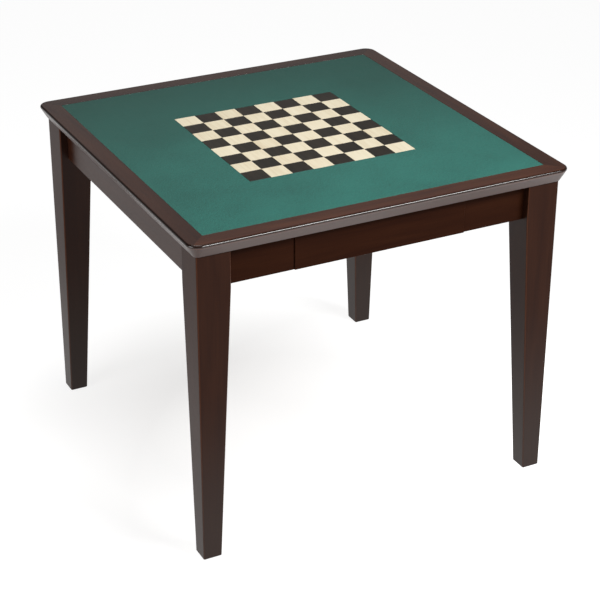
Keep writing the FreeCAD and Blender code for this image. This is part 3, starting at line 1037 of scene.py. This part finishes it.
@dataclass
class TableTop:
    """Border rails, baize field and board, with the core and battens below them."""

    half: float = PLANES.top_half
    height: float = PLANES.height
    under: float = PLANES.under_top
    nose_radius: float = 4.5 * MM
    nose_steps: int = 16
    bevel_inset: float = 15.0 * MM
    foot_ease: float = 0.6 * MM
    corner_radius: float = 27.0 * MM
    corner_steps: int = 12
    border_width: float = 44.45 * MM
    lip_radius: float = 0.12 * MM
    groove_depth: float = 8.1 * MM
    groove_half: float = 3.1 * MM
    groove_level: float = 751.5 * MM
    inlay_depth: float = 1.5 * MM
    inlay_gap: float = 0.2 * MM
    baize_roll: float = 0.6 * MM
    roll_steps: int = 4
    cloth_rows: int = 24
    cloth_steps: int = 48
    square: float = 50.8 * MM
    squares: int = 8
    square_ease: float = 0.22 * MM
    square_steps: int = 2
    ease_steps: int = 3
    hold: float = 0.8 * MM
    foot_wear: float = 0.6
    run_shares: tuple[float, ...] = (-1, -0.996, -0.9, -0.5, 0, 0.5, 0.9, 0.996, 1)

    @property
    def turn_centre(self) -> float:
        """Distance of the rounded corners' axes from the middle planes."""
        return self.half - self.corner_radius

    @property
    def inner(self) -> float:
        """Distance of the border's inner edge from the middle planes."""
        return self.half - self.border_width

    def outer_profile(self) -> tuple[Array, Array]:
        """Outer part of the rail's section, from the underside up and over the nose.

        The bevel runs from the eased foot to the tangent of the nose's circle, and the
        nose follows the circle up to the top.

        Returns:
            Rows of (distance from the middle, height), and each row's rubbed share, negative on the nose
            where shade is painted dark.
        """
        nose = np.array([self.half - self.nose_radius, self.height - self.nose_radius])
        foot = np.array([self.half - self.bevel_inset, self.under])
        gap = foot - nose
        tangent = math.atan2(gap[1], gap[0]) + math.acos(self.nose_radius / np.hypot(*gap))
        angle = np.linspace(tangent, math.pi / 2, self.nose_steps + 1)
        arc = arc_points(nose, self.nose_radius, angle)
        rise = (arc[0] - foot) / np.linalg.norm(arc[0] - foot)
        inward = np.array([-1.0, 0.0])
        share = np.linspace(0, 1, self.ease_steps + 1)[:, None]
        start, end = foot + inward * self.foot_ease, foot + rise * self.foot_ease
        ease = (1 - share) ** 2 * start + 2 * share * (1 - share) * foot + share ** 2 * end
        rows = np.concatenate([
            [[self.turn_centre, self.under]],
            [start + inward * self.hold], ease, [end + rise * self.hold],
            [arc[0] - rise * self.hold], arc, [arc[-1] + inward * self.hold],
            [[self.turn_centre, self.height]],
        ])
        wear_and_shade = np.zeros(len(rows))
        wear_and_shade[3:2 + self.ease_steps] = self.foot_wear
        # Painted shade: the nose arc is painted dark, standing in for its dark reflection.
        wear_and_shade[-len(arc) - 2:-2] = -np.sqrt(np.sin(np.linspace(0, math.pi, len(arc))))
        return rows, wear_and_shade

    def inner_profile(self) -> Array:
        """Inner part of the rail's section: top, eased lip, groove for the core's tongue, underside.

        Returns:
            Rows of (distance from the middle, height).
        """
        angle = np.linspace(math.pi / 2, math.pi, self.ease_steps + 1)
        lip = np.array([self.inner + self.lip_radius, self.height - self.lip_radius])
        arc = arc_points(lip, self.lip_radius, angle)
        low, high = self.groove_level - self.groove_half, self.groove_level + self.groove_half
        end = self.inner + self.groove_depth
        return np.concatenate([
            [[self.turn_centre, self.height]], [arc[0] + [self.hold, 0]], arc,
            [[self.inner, high], [end, high], [end, low], [self.inner, low]],
            [[self.inner, self.under], [self.turn_centre, self.under]],
        ])

    def rail_skin(self) -> Skin:
        """Right border rail: its section carried along the side and half round both corners.

        Outside the corner axes a point keeps its distance from the axis while the angle
        grows to the mitre; inside them a point runs straight from mitre to mitre.

        Returns:
            The closed skin with a face on both mitres.
        """
        turn = self.turn_centre
        share = np.array(self.run_shares)
        bend = np.linspace(0, math.pi / 4, self.corner_steps + 1)[1:]
        angle = np.concatenate([-bend[::-1], np.zeros(len(share)), bend])
        along = np.concatenate([np.full(len(bend), -turn), share * turn, np.full(len(bend), turn)])
        rows, wear_and_shade = self.outer_profile()
        reach = rows[:, :1] - turn
        outer = np.stack([
            turn + reach * np.cos(angle), along + reach * np.sin(angle),
            np.broadcast_to(rows[:, 1:], (len(rows), len(angle))),
        ], axis=-1)
        rows = self.inner_profile()
        shape = (len(rows), len(share))
        inner = np.stack([
            np.broadcast_to(rows[:, :1], shape), rows[:, :1] * share,
            np.broadcast_to(rows[:, 1:], shape),
        ], axis=-1)
        skin = Skin.grid(outer, wear_and_shade=wear_and_shade[:, None]) + Skin.grid(inner)
        outer_rows = np.arange(outer.shape[0]) * outer.shape[1]
        inner_rows = outer[..., 0].size + np.arange(shape[0]) * shape[1]
        loop = np.concatenate([outer_rows, inner_rows])
        last = np.concatenate([outer_rows + outer.shape[1], inner_rows + shape[1]]) - 1
        return Skin(skin.points, skin.faces + [loop[None], last[None, ::-1]], skin.wear_and_shade).welded()

    def baize_skin(self) -> Skin:
        """Baize field: a thin section with rolled edges carried round a square.

        A point at distance d from the middle runs along the square of half side d.

        Returns:
            The closed skin.
        """
        low, high = self.height - self.inlay_depth, self.height
        outer = self.inner - self.inlay_gap
        hole = self.square * self.squares / 2 + self.inlay_gap
        roll = self.baize_roll
        rise = arc_points(np.zeros(2), roll, np.linspace(0, math.pi / 2, self.roll_steps + 1))
        outer_roll = np.array([outer - roll, high - roll]) + rise
        inner_roll = np.array([hole + roll, high - roll]) + rise[::-1] * [-1, 1]
        across = np.linspace(outer - 2 * roll, hole + 2 * roll, self.cloth_rows + 1)
        top = np.stack([across, np.full(len(across), high)], axis=-1)
        rows = np.concatenate([
            [[outer, low]], outer_roll, top, inner_roll, [[hole, low], [outer, low]],
        ])
        share = np.linspace(-1, 1, self.cloth_steps + 1)[:-1]
        one = np.ones(len(share))
        path = np.concatenate([
            np.stack([one, share], axis=-1), np.stack([-share, one], axis=-1),
            np.stack([-one, -share], axis=-1), np.stack([share, -one], axis=-1),
        ])
        flat = rows[:, None, :1] * path[None]
        level = np.broadcast_to(rows[:, None, 1:], flat.shape[:2] + (1,))
        return Skin.grid(np.concatenate([flat, level], axis=-1), closed=True).welded()

    def squares_skin(self, parity: int) -> Skin:
        """Veneer squares of one colour.

        One eased square is repeated at every column and row whose sum has the parity.

        Args:
            parity: 0 for the colour of the near left square, 1 for the other.

        Returns:
            The skin of all squares of that colour.
        """
        size = self.square - self.inlay_gap
        start = self.inlay_gap / 2 - self.square * self.squares / 2
        low = np.array([start, start, self.height - self.inlay_depth])
        high = np.array([start + size, start + size, self.height])
        column, row = np.meshgrid(np.arange(self.squares), np.arange(self.squares), indexing="ij")
        chosen = (column + row) % 2 == parity
        offsets = np.stack([column[chosen], row[chosen], np.zeros(chosen.sum())], axis=-1) * self.square
        return eased_board(low, high, self.square_ease, self.square_steps).repeated(offsets)

    def build(self, finishes: Finishes) -> None:
        """Makes the top's pieces and dresses the solids under them.

        Args:
            finishes: Finishes of the table.
        """
        rail = self.rail_skin()
        for side in Side:
            node = side.name + "_border_rail"
            skin = rail.turned(side.value)
            add_piece(side.name + "_border", skin, finishes.border_lacquer[side], [node])
        cloth = add_piece("baize_cloth", self.baize_skin(), finishes.baize, ["baize_field"])
        dark, light = self.squares_skin(0), self.squares_skin(1)
        add_piece("board_dark_squares", dark, finishes.dark_veneer, ["dark_squares"])
        add_piece("board_light_squares", light, finishes.light_veneer, ["light_squares"])
        dress("top_core_panel", finishes.pressed_board)
        for side in Side:
            dress(side.name + "_top_batten", finishes.pressed_board)


@dataclass
class Legs:
    """Four square tapered legs with their nail-on glides."""

    outer: float = PLANES.leg_outer
    inner: float = PLANES.leg_inner
    foot: float = 43.0 * MM
    top: float = PLANES.under_top
    knee: float = PLANES.apron_bottom
    sole: float = 2.0 * MM
    edge_radius: float = 3.0 * MM
    edge_steps: int = 8
    hold: float = 1.2 * MM
    foot_chamfer: float = 2.0 * MM
    foot_shrink: float = 0.8
    inner_shade: float = 0.5
    flat: float = PLANES.leg_flat
    glide_radius: float = 12.0 * MM
    glide_rim: float = 0.8 * MM
    glide_sole: float = 0.6
    rim_steps: int = 5
    glide_sides: int = 40
    nail_radius: float = 2.0 * MM
    nail_length: float = 12.0 * MM

    def leg_skin(self) -> Skin:
        """Back right leg as a stack of outlines.

        An outline is a square with rounded corners: each corner's centre plus the radius
        along even angles, with a held point just outside both ends of the arc. The inner
        faces move in evenly from the foot to the knee. Above the knee the innermost
        corner is cut straight across for the bolts.

        Returns:
            The closed skin, worn on its edges, with painted shade on its inner faces.
        """
        hold = self.hold
        chamfer_end = self.sole + self.foot_chamfer
        level = np.array([
            self.sole, chamfer_end, chamfer_end + hold, self.knee - hold,
            self.knee, self.knee, self.knee + hold, self.top,
        ])
        inset = np.where(level == self.sole, self.foot_chamfer, 0.0)
        cut_across = np.array([False] * 5 + [True] * 3)
        rise = np.clip((level - self.sole) / (self.knee - self.sole), 0, 1)
        low = self.outer - self.foot - (self.outer - self.foot - self.inner) * rise + inset
        high = self.outer - inset
        radius = self.edge_radius - inset * self.foot_shrink
        quarter = np.linspace(0, math.pi / 2, self.edge_steps + 1)
        turn = np.concatenate([quarter[:1], quarter, quarter[-1:]])
        slide = np.concatenate([[-hold], np.zeros(len(quarter)), [hold]])
        angle = turn + np.arange(4)[:, None] * math.pi / 2
        centre_x = np.stack([high - radius, low + radius, low + radius, high - radius], axis=-1)
        centre_y = np.stack([high - radius, high - radius, low + radius, low + radius], axis=-1)
        spread = radius[:, None, None]
        x = centre_x[..., None] + spread * np.cos(angle) - slide * np.sin(angle)
        y = centre_y[..., None] + spread * np.sin(angle) + slide * np.cos(angle)
        across = np.linspace(0, 1, len(quarter))
        across = np.concatenate([[0.0], across, [1.0]])
        flat_x = low[:, None] + self.flat * across + np.clip(slide, 0, None)
        flat_y = low[:, None] + self.flat * (1 - across) + np.clip(-slide, 0, None)
        x[cut_across, 2] = flat_x[cut_across]
        y[cut_across, 2] = flat_y[cut_across]
        count = 4 * len(turn)
        height = np.broadcast_to(level[:, None], (len(level), count))
        points = np.stack([x.reshape(-1, count), y.reshape(-1, count), height], axis=-1)
        arc_wear = np.sin(np.concatenate([[0], np.linspace(0, math.pi, len(quarter)), [0]])) ** 2
        wear_and_shade = np.tile(arc_wear, (4, 1))
        # Painted shade: the inner faces are darkened, standing in for the shade under the table.
        wear_and_shade[1, -2:] = -self.inner_shade
        wear_and_shade[2, [0, 1, -2, -1]] = -self.inner_shade
        wear_and_shade[3, :2] = -self.inner_shade
        return Skin.column(points, wear_and_shade=wear_and_shade.reshape(1, -1)).welded()

    def glide_skin(self) -> Skin:
        """Back right glide: a disc with a rounded rim and its nail, turned about its middle.

        Returns:
            The closed skin.
        """
        angle = np.linspace(0, math.pi / 2, self.rim_steps + 1)
        rim = self.glide_radius - self.glide_rim
        low_radii = rim + self.glide_rim * np.sin(angle)
        low_heights = self.glide_rim * (1 - np.cos(angle))
        nail_top = self.sole + self.nail_length
        radii = np.concatenate([
            [0, rim * self.glide_sole], low_radii,
            [self.glide_radius, self.nail_radius, self.nail_radius, 0],
        ])
        heights = np.concatenate([
            [0, 0], low_heights, [self.sole, self.sole, nail_top - 2 * self.nail_radius, nail_top],
        ])
        middle = self.outer - self.foot / 2
        glide = lathed(radii, heights, self.glide_sides)
        return glide.carried(np.eye(3), np.array([middle, middle, 0]))

    def build(self, finishes: Finishes) -> None:
        """Makes the legs and the set of glides.

        Args:
            finishes: Finishes of the table.
        """
        leg = self.leg_skin()
        lacquer = finishes.frame_lacquer[Grain.along_z]
        for corner in Corner:
            node = corner.name + "_leg"
            skin = leg.turned(corner.value)
            add_piece(corner.name + "_tapered_leg", skin, lacquer, [node])
        glides = self.glide_skin().at_corners()
        add_piece("nail_on_glides", glides, finishes.glide_nylon, ["foot_glides"])


@dataclass
class LegBolts:
    """Hanger bolts, washers and nuts that draw the legs to the corner blocks.

    The two bolts of a corner lie the offset above and below the middle of its block. Thread
    rows count to one pitch, and the nut's rows are heights in millimetres from either end.
    """

    seat: float = PLANES.block_outer / 2
    offset: float = 15.0 * MM
    block: float = PLANES.block_thickness
    bolt_radius: float = 4.0 * MM
    bolt_in_leg: float = 40.0 * MM
    bolt_point: float = 7.0 * MM
    beyond_nut: float = 4.0 * MM
    end_chamfer: float = 0.8 * MM
    thread_depth: float = 0.6 * MM
    thread_pitch: float = 1.25 * MM
    thread_rows: int = 6
    thread_overrun: float = 2.0 * MM
    thread_runout: float = 1.0 * MM
    coarse_depth: float = 0.9 * MM
    coarse_pitch: float = 3.0 * MM
    coarse_rows: int = 8
    coarse_start: float = 0.5 * MM
    washer_radius: float = 10.0 * MM
    washer_thickness: float = 1.8 * MM
    washer_ease: float = 0.25 * MM
    washer_sides: int = 40
    nut_width: float = 13.0 * MM
    nut_thickness: float = 6.5 * MM
    nut_face: float = 0.96
    nut_mouth: float = 0.5 * MM
    nut_rows: tuple[float, ...] = (0, 0.15, 0.3, 0.45, 0.6, 0.8)
    nut_sides: int = 48
    hole_radius: float = 4.15 * MM
    sides: int = 24

    def bolt_skin(self) -> Skin:
        """Bolt along +Z with its point in the leg.

        The radius falls from the crest by a triangle wave of height / pitch less the share
        of a full turn, fine on the nut's half and coarse in the leg, and shrinks to the point.

        Returns:
            The closed skin.
        """
        start = -(self.block + self.washer_thickness + self.nut_thickness + self.beyond_nut)
        fine = np.arange(start, -self.block + self.thread_overrun, self.thread_pitch / self.thread_rows)
        coarse = np.arange(self.coarse_start, self.bolt_in_leg, self.coarse_pitch / self.coarse_rows)
        runout = fine[-1] + self.thread_runout
        heights = np.concatenate([[start], fine, [runout, 0.0], coarse, [self.bolt_in_leg]])
        is_fine = heights <= fine[-1]
        is_coarse = heights >= coarse[0]
        turn = np.arange(self.sides) / self.sides
        pitch = np.where(is_fine, self.thread_pitch, self.coarse_pitch)[:, None]
        depth = np.where(is_fine, self.thread_depth, np.where(is_coarse, self.coarse_depth, 0))[:, None]
        taper = (self.bolt_in_leg - heights) / self.bolt_point
        crest = np.minimum(self.bolt_radius, taper * self.bolt_radius)
        crest = np.minimum(crest, self.bolt_radius - self.end_chamfer + (heights - start))
        shrink = (crest / self.bolt_radius)[:, None]
        radii = crest[:, None] - shrink * depth * saw(heights[:, None] / pitch - turn)
        radii[0] = 0
        radii[-1] = 0
        return lathed(radii, heights, self.sides)

    def washer_skin(self) -> Skin:
        """Flat washer on the block's inner face: a section with eased rims, turned about the bolt.

        Returns:
            The closed skin.
        """
        low = -self.block - self.washer_thickness
        ease = self.washer_ease
        radii = np.array([
            self.hole_radius, self.hole_radius + ease, self.washer_radius - ease, self.washer_radius,
            self.washer_radius, self.washer_radius - ease, self.hole_radius + ease, self.hole_radius,
            self.hole_radius,
        ])
        heights = np.array([
            low + ease, low, low, low + ease,
            -self.block - ease, -self.block, -self.block, -self.block - ease, low + ease,
        ])
        return lathed(radii, heights, self.washer_sides)

    def nut_skin(self) -> Skin:
        """Hexagon nut on the washer.

        Its radius is that of the hexagon in each direction, cut back near both ends by a
        cone that starts inside the flats.

        Returns:
            The closed skin.
        """
        sides = self.nut_sides
        flat = self.nut_width / 2
        turn = np.arange(sides) / sides * 2 * math.pi
        to_flat = np.mod(turn, math.pi / 3) - math.pi / 6
        hexagon = flat / np.cos(to_flat)
        rise = np.array(self.nut_rows) * MM
        low = -self.block - self.washer_thickness - self.nut_thickness
        heights = np.concatenate([low + rise, low + self.nut_thickness - rise[::-1]])
        from_end = np.concatenate([rise, rise[::-1]])
        body = np.minimum(hexagon, self.nut_face * flat + from_end[:, None] * math.sqrt(3))
        hole = np.full((1, sides), self.hole_radius)
        mouth = hole + self.nut_mouth
        radii = np.concatenate([hole, mouth, body, mouth, hole, hole])
        top = low + self.nut_thickness
        inlet = low + self.nut_mouth
        levels = np.concatenate([[inlet, low], heights, [top, top - self.nut_mouth, inlet]])
        return lathed(radii, levels, sides)

    def at_all_bolts(self, skin: Skin) -> Skin:
        """A skin at both bolts of every corner.

        Args:
            skin: Piece made along +Z, with the block's outer face at its origin.

        Returns:
            The skin of all eight copies.
        """
        levels = (PLANES.block_middle + self.offset, PLANES.block_middle - self.offset)
        seats = [(self.seat, self.seat, level) for level in levels]
        return joined([skin.aimed(seat, (1.0, 1.0, 0.0)) for seat in seats]).at_corners()

    def build(self, finishes: Finishes) -> None:
        """Makes the bolts, washers and nuts.

        Args:
            finishes: Finishes of the table.
        """
        for name, node, skin in (
            ("threaded_bolts", "hanger_bolts", self.bolt_skin()),
            ("round_washers", "hanger_bolt_washers", self.washer_skin()),
            ("hexagon_nuts", "hanger_bolt_nuts", self.nut_skin()),
        ):
            add_piece(name, self.at_all_bolts(skin), finishes.zinc_steel, [node])


@dataclass
class Screws:
    """Countersunk wood screws of the blocks, brackets, runners and stops."""

    head_radius: float = 4.0 * MM
    shank_radius: float = 2.0 * MM
    head_depth: float = 2.2 * MM
    head_rise: float = 0.08 * MM
    rim_depth: float = 0.25 * MM
    rim_ease: float = 0.12 * MM
    face_inset: float = 0.2 * MM
    face_centre: float = 0.15 * MM
    face_rows: int = 22
    neck: float = 1.0 * MM
    point: float = 3.0 * MM
    point_start: float = 0.4 * MM
    thread_pitch: float = 1.8 * MM
    thread_depth: float = 0.5 * MM
    thread_rows: int = 5
    recess_depth: float = 1.5 * MM
    recess_width: float = 1.2 * MM
    recess_wall: float = 0.25 * MM
    recess_half: float = 2.2 * MM
    recess_runout: float = 0.9 * MM
    sides: int = 32
    block_seat: float = 8.0 * MM
    block_spread: float = 36.0 * MM
    bracket_plate: float = 2.5 * MM
    bracket_hole: float = 16.0 * MM
    bracket_spread: float = 300.0 * MM
    runner_reach: float = 6.7 * MM
    runner_lift: float = 47.0 * MM
    runner_front_inset: float = 62.0 * MM
    runner_end: float = 87.0 * MM
    stop_line: float = 321.3 * MM
    stop_drop: float = 14.0 * MM
    stop_spread: float = 30.0 * MM

    def slot(self, along: Array, aside: Array) -> Array:
        """Share from 0 to 1 of one slot's depth, full along its middle and running out at its ends."""
        wall = np.clip((self.recess_width / 2 - np.abs(aside)) / self.recess_wall + 0.5, 0, 1)
        return wall * np.clip((self.recess_half - np.abs(along)) / self.recess_runout, 0, 1)

    def recess(self, x: Array, y: Array) -> Array:
        """Depth of the cross recess: the deeper of two crossed slots."""
        return self.recess_depth * np.maximum(self.slot(x, y), self.slot(y, x))

    def skin(self, length: float) -> Skin:
        """Screw with the middle of its head at the origin, pointing down.

        The shank's radius falls by a triangle wave of height / pitch less the share of a
        full turn, the head widens as a cone, and its top drops by the cross recess.

        Args:
            length: Length under the head's face.

        Returns:
            The closed skin.
        """
        row_step = self.thread_pitch / self.thread_rows
        shank = np.arange(self.point_start - length, -self.head_depth - self.neck, row_step)
        face_edge = self.head_radius - self.face_inset
        top = np.concatenate([np.linspace(face_edge, self.face_centre, self.face_rows), [0.0]])
        rim = [self.head_radius, self.head_radius]
        crest = np.minimum(self.shank_radius, (shank + length) / self.point * self.shank_radius)
        radii = np.concatenate([[0], crest, [self.shank_radius], rim, top])
        heights = np.concatenate([
            [-length], shank, [-self.head_depth, -self.rim_depth, self.head_rise - self.rim_ease],
            np.full(len(top), self.head_rise),
        ])
        depth = np.zeros(len(radii))
        depth[1:1 + len(shank)] = self.thread_depth * crest / self.shank_radius
        turn = np.arange(self.sides) / self.sides
        radius = radii[:, None] - depth[:, None] * saw(heights[:, None] / self.thread_pitch - turn)
        angle = turn * 2 * math.pi
        dip = self.recess(radius * np.cos(angle), radius * np.sin(angle))
        dip[:-len(top)] = 0
        return lathed(radius, heights[:, None] - dip, self.sides)

    def placed(self, length: float, seats: list[tuple[Place, Place]]) -> Skin:
        """Screws of one length at seats, each with the direction that its head faces."""
        skin = self.skin(length)
        return joined([skin.aimed(seat, direction) for seat, direction in seats])

    def block_screws(self) -> Skin:
        """Four screws in each corner block, through its seat into the aprons.

        Returns:
            The skin of all of them.
        """
        seat = PLANES.apron_inner - self.block_seat
        end = (PLANES.block_outer + PLANES.block_inner) / 2 - PLANES.apron_inner
        seats = []
        for side in (1, -1):
            level = PLANES.block_middle + side * self.block_spread / 2
            seats.append(((seat, end, level), (-1.0, 0.0, 0.0)))
            seats.append(((end, seat, level), (0.0, -1.0, 0.0)))
        block = self.placed(self.block_seat + PLANES.apron_thickness - PLANES.screw_cover, seats)
        return block.at_corners()

    def bracket_screws(self) -> Skin:
        """Two screws in each bracket, one into the apron and one into the batten.

        Returns:
            The skin of all of them.
        """
        inner, under = PLANES.apron_inner, PLANES.under_top
        pair = self.placed(self.bracket_plate + PLANES.batten_thickness - PLANES.screw_cover, [
            ((inner - self.bracket_plate, 0.0, under - self.bracket_hole), (-1.0, 0.0, 0.0)),
            ((inner - self.bracket_hole, 0.0, under - self.bracket_plate), (0.0, 0.0, -1.0)),
        ])
        stub = (PLANES.opening_half + PLANES.rail_thickness + PLANES.block_inner - inner) / 2
        placed = []
        for side in Side:
            offset = self.bracket_spread / 2 if side in (Side.left, Side.right) else stub
            both = pair.repeated(np.array([[0, offset, 0], [0, -offset, 0]]))
            placed.append(both.turned(side.value))
        return joined(placed)

    def runner_screws(self) -> Skin:
        """Two screws in each runner strip.

        Returns:
            The skin of all of them.
        """
        seat = PLANES.opening_half - self.runner_reach
        level = PLANES.apron_bottom + self.runner_lift
        lines = (self.runner_front_inset - PLANES.apron_inner, -self.runner_end)
        length = self.runner_reach + PLANES.rail_thickness - PLANES.screw_cover
        right = self.placed(length, [((seat, along, level), (-1.0, 0.0, 0.0)) for along in lines])
        return (right + right.mirrored()).at_both_ends()

    def stop_screws(self) -> Skin:
        """Two screws in each drawer stop.

        Returns:
            The skin of all of them.
        """
        level = PLANES.under_top - self.stop_drop
        seats = [
            ((side * self.stop_spread / 2, -self.stop_line, level), (0.0, 0.0, -1.0)) for side in (1, -1)
        ]
        length = self.stop_drop + PLANES.batten_thickness - PLANES.screw_cover
        return self.placed(length, seats).at_both_ends()

    def build(self, finishes: Finishes) -> None:
        """Makes every set of screws.

        Args:
            finishes: Finishes of the table.
        """
        for name, node, skin in (
            ("block_wood_screws", "corner_block_screws", self.block_screws()),
            ("bracket_wood_screws", "top_bracket_screws", self.bracket_screws()),
            ("runner_wood_screws", "runner_screws", self.runner_screws()),
            ("stop_wood_screws", "drawer_stop_screws", self.stop_screws()),
        ):
            add_piece(name, skin, finishes.zinc_steel, [node])


@dataclass
class FrameBoards:
    """Aprons, rails, runners, blocks and stops, kept as the solids they are."""

    short_aprons: tuple[str, ...] = ("front_left", "front_right", "back_left", "back_right")
    along_the_sides: tuple[str, ...] = ("left_drawer_rail", "right_drawer_rail")
    across: tuple[str, ...] = ("cross_rail", "rail_dowels", "front_drawer_stop", "back_drawer_stop")

    def build(self, finishes: Finishes) -> None:
        """Gives every board of the frame its finish, with the grain along it.

        Args:
            finishes: Finishes of the table.
        """
        for corner in self.short_aprons:
            dress(corner + "_apron", finishes.frame_lacquer[Grain.along_x])
            dress(corner + "_runner", finishes.bare_wood[Grain.along_y])
            dress(corner + "_corner_block", finishes.bare_wood[Grain.along_z])
        for side in (Side.left, Side.right):
            dress(side.name + "_apron", finishes.frame_lacquer[side.grain])
        for node in self.along_the_sides:
            dress(node, finishes.bare_wood[Grain.along_y])
        for node in self.across:
            dress(node, finishes.bare_wood[Grain.along_x])
        dress("top_brackets", finishes.zinc_steel)


@dataclass
class Drawers:
    """Two dovetailed drawers, kept as the solids they are."""

    names: tuple[str, ...] = ("front_drawer", "back_drawer")

    def build(self, finishes: Finishes) -> None:
        """Gives the boards of both drawers their finish.

        Args:
            finishes: Finishes of the table.
        """
        for name in self.names:
            dress(name + "_front", finishes.frame_lacquer[Grain.along_x])
            dress(name + "_left_side", finishes.bare_wood[Grain.along_y])
            dress(name + "_right_side", finishes.bare_wood[Grain.along_y])
            dress(name + "_back", finishes.bare_wood[Grain.along_x])
            dress(name + "_bottom", finishes.thin_ply)


# Studio


@dataclass(frozen=True)
class Softbox:
    """One soft area light."""

    name: str
    place: Place
    aim: Place
    width: float
    height: float
    power: float
    spread: float = math.pi

    def build(self) -> None:
        """Puts the light in the scene."""
        light = bpy.data.lights.new(self.name, "AREA")
        light.shape = "RECTANGLE"
        light.size = self.width
        light.size_y = self.height
        light.energy = self.power
        light.spread = self.spread
        made = bpy.data.objects.new(self.name, light)
        made.location = self.place
        made.rotation_euler = (Vector(self.aim) - Vector(self.place)).to_track_quat("-Z", "Y").to_euler()
        bpy.context.scene.collection.objects.link(made)
        LOG.info("%s: %.1f W", self.name, self.power)


@dataclass
class Studio:
    """Pale floor, soft lights and the camera.

    Attributes:
        glow_aside: Share of the floor's glow by the distance along the line aside.
        glow_pools: Points on the floor, each with the share of the glow by the distance from it.
        sky_rise: Brightness of the sky by how far up a direction points.
        sky_across: Share of that brightness by how far right a direction points.
    """

    floor_half: float = 12.0
    floor_steps: int = 8
    floor_tone: Colour = (0.25, 0.25, 0.25, 1.0)
    mottle_scale: float = 3.0
    mottle_share: float = 0.985
    floor_glow: float = 1.38
    glow_aside: Stops = ((-3.2, 0.85), (-1.6, 0.70), (-0.95, 0.70), (-0.78, 1.0))
    aside: Place = (0.95, -0.3125, 0.0)
    glow_pools: tuple[tuple[Place, Stops], ...] = (
        ((0.0, 0.0, 0.0), ((0.0, 0.68), (0.35, 0.75), (0.72, 1.0))),
        ((0.45, -0.50, 0.0), ((0.0, 1.0), (0.48, 1.0), (1.0, 0.67))),
    )
    sky_rise: Stops = (
        (0.0, 0.90), (0.12, 0.85), (0.2, 0.28), (0.32, 0.34), (0.45, 0.23), (0.65, 0.13), (1.0, 0.13),
    )
    sky_across: Stops = ((-0.1, 0.35), (0.2, 1.0), (0.35, 1.0), (0.50, 0.80), (0.56, 0.45))
    softboxes: tuple[Softbox, ...] = (
        Softbox(
            "key_softbox", place=(1.27, -2.42, 2.65), aim=(0.0, -0.10, 0.74),
            width=1.5, height=0.65, power=33.5, spread=math.radians(100),
        ),
        Softbox(
            "top_softbox", place=(-0.15, 0.30, 2.30), aim=(0.0, 0.05, 0.76),
            width=0.6, height=0.6, power=2.5, spread=math.radians(90),
        ),
        Softbox(
            "left_softbox", place=(-2.60, -0.60, 1.20), aim=(-0.40, 0.0, 0.50),
            width=1.5, height=1.2, power=10.5, spread=math.radians(100),
        ),
    )
    camera_place: Place = (-1.66953, -3.30997, 2.23607)
    azimuth: float = -26.7038
    elevation: float = 26.5078
    focal_length: float = 105.22
    sensor: float = 36.0
    shift: tuple[float, float] = (0.0154, -0.0303)

    def floor_material(self) -> bpy.types.Material:
        """Plain pale floor, lit from within, less on the left and under the table, more in front of it.

        Returns:
            The material.
        """
        graph = Graph.finish("pale_floor")
        place = graph.coordinates()
        mottle = graph.noise(place, self.mottle_scale)
        low = dimmed(self.floor_tone, self.mottle_share)
        glow = graph.course(graph.measure("DOT_PRODUCT", place, self.aside), self.glow_aside)
        for middle, stops in self.glow_pools:
            away = graph.measure("DISTANCE", place, middle)
            glow = graph.mix(1.0, glow, graph.course(away, stops), "MULTIPLY")
        return graph.surface({
            "Base Color": graph.ramp(mottle, [(0.3, low), (0.7, self.floor_tone)]),
            "Roughness": 0.9,
            "Specular IOR Level": 0.1,
            "Emission Color": glow,
            "Emission Strength": self.floor_glow,
        })

    def sky(self) -> bpy.types.World:
        """Grey sky: pale at the horizon, a fainter band above it, dimmer on the left and far right.

        Returns:
            The sky.
        """
        graph = Graph(bpy.data.worlds.new("studio_sky"))
        direction = graph.node("ShaderNodeTexCoord", {}, {}, "Generated")
        rise = graph.course(graph.part(direction, "Z"), self.sky_rise)
        across = graph.course(graph.part(direction, "X"), self.sky_across)
        sky = graph.mix(1.0, rise, across, "MULTIPLY")
        shader = graph.node("ShaderNodeBackground", {}, {"Color": sky})
        graph.end("ShaderNodeOutputWorld", shader)
        return graph.owner

    def build(self) -> None:
        """Makes the floor, the sky, the lights and the camera."""
        line = np.linspace(-self.floor_half, self.floor_half, self.floor_steps + 1)
        x, y = np.meshgrid(line, line, indexing="xy")
        floor = Skin.grid(np.stack([x, y, np.zeros(x.shape)], axis=-1)).as_object("floor")
        floor.data.materials.append(self.floor_material())
        scene = bpy.context.scene
        scene.world = self.sky()
        scene.view_settings.view_transform = "Standard"
        for softbox in self.softboxes:
            softbox.build()
        self.camera()

    def camera(self) -> None:
        """Camera at the place and angle fitted to the table's known edges."""
        lens = bpy.data.cameras.new("camera")
        lens.lens = self.focal_length
        lens.sensor_width = self.sensor
        lens.shift_x, lens.shift_y = self.shift
        made = bpy.data.objects.new("camera", lens)
        turn, rise = math.radians(self.azimuth), math.radians(self.elevation)
        back = Vector((
            math.sin(turn) * math.cos(rise), -math.cos(turn) * math.cos(rise), math.sin(rise),
        ))
        made.location = self.camera_place
        made.rotation_euler = (-back).to_track_quat("-Z", "Y").to_euler()
        bpy.context.scene.collection.objects.link(made)
        bpy.context.scene.camera = made


def main() -> None:
    """Builds the table's assemblies in order, then the studio."""
    logging.basicConfig(level=logging.INFO, format="%(message)s")
    finishes = Finishes()
    for assembly in (TableTop(), Legs(), LegBolts(), Screws(), FrameBoards(), Drawers()):
        assembly.build(finishes)
    Studio().build()


if __name__ == "__main__":
    main()
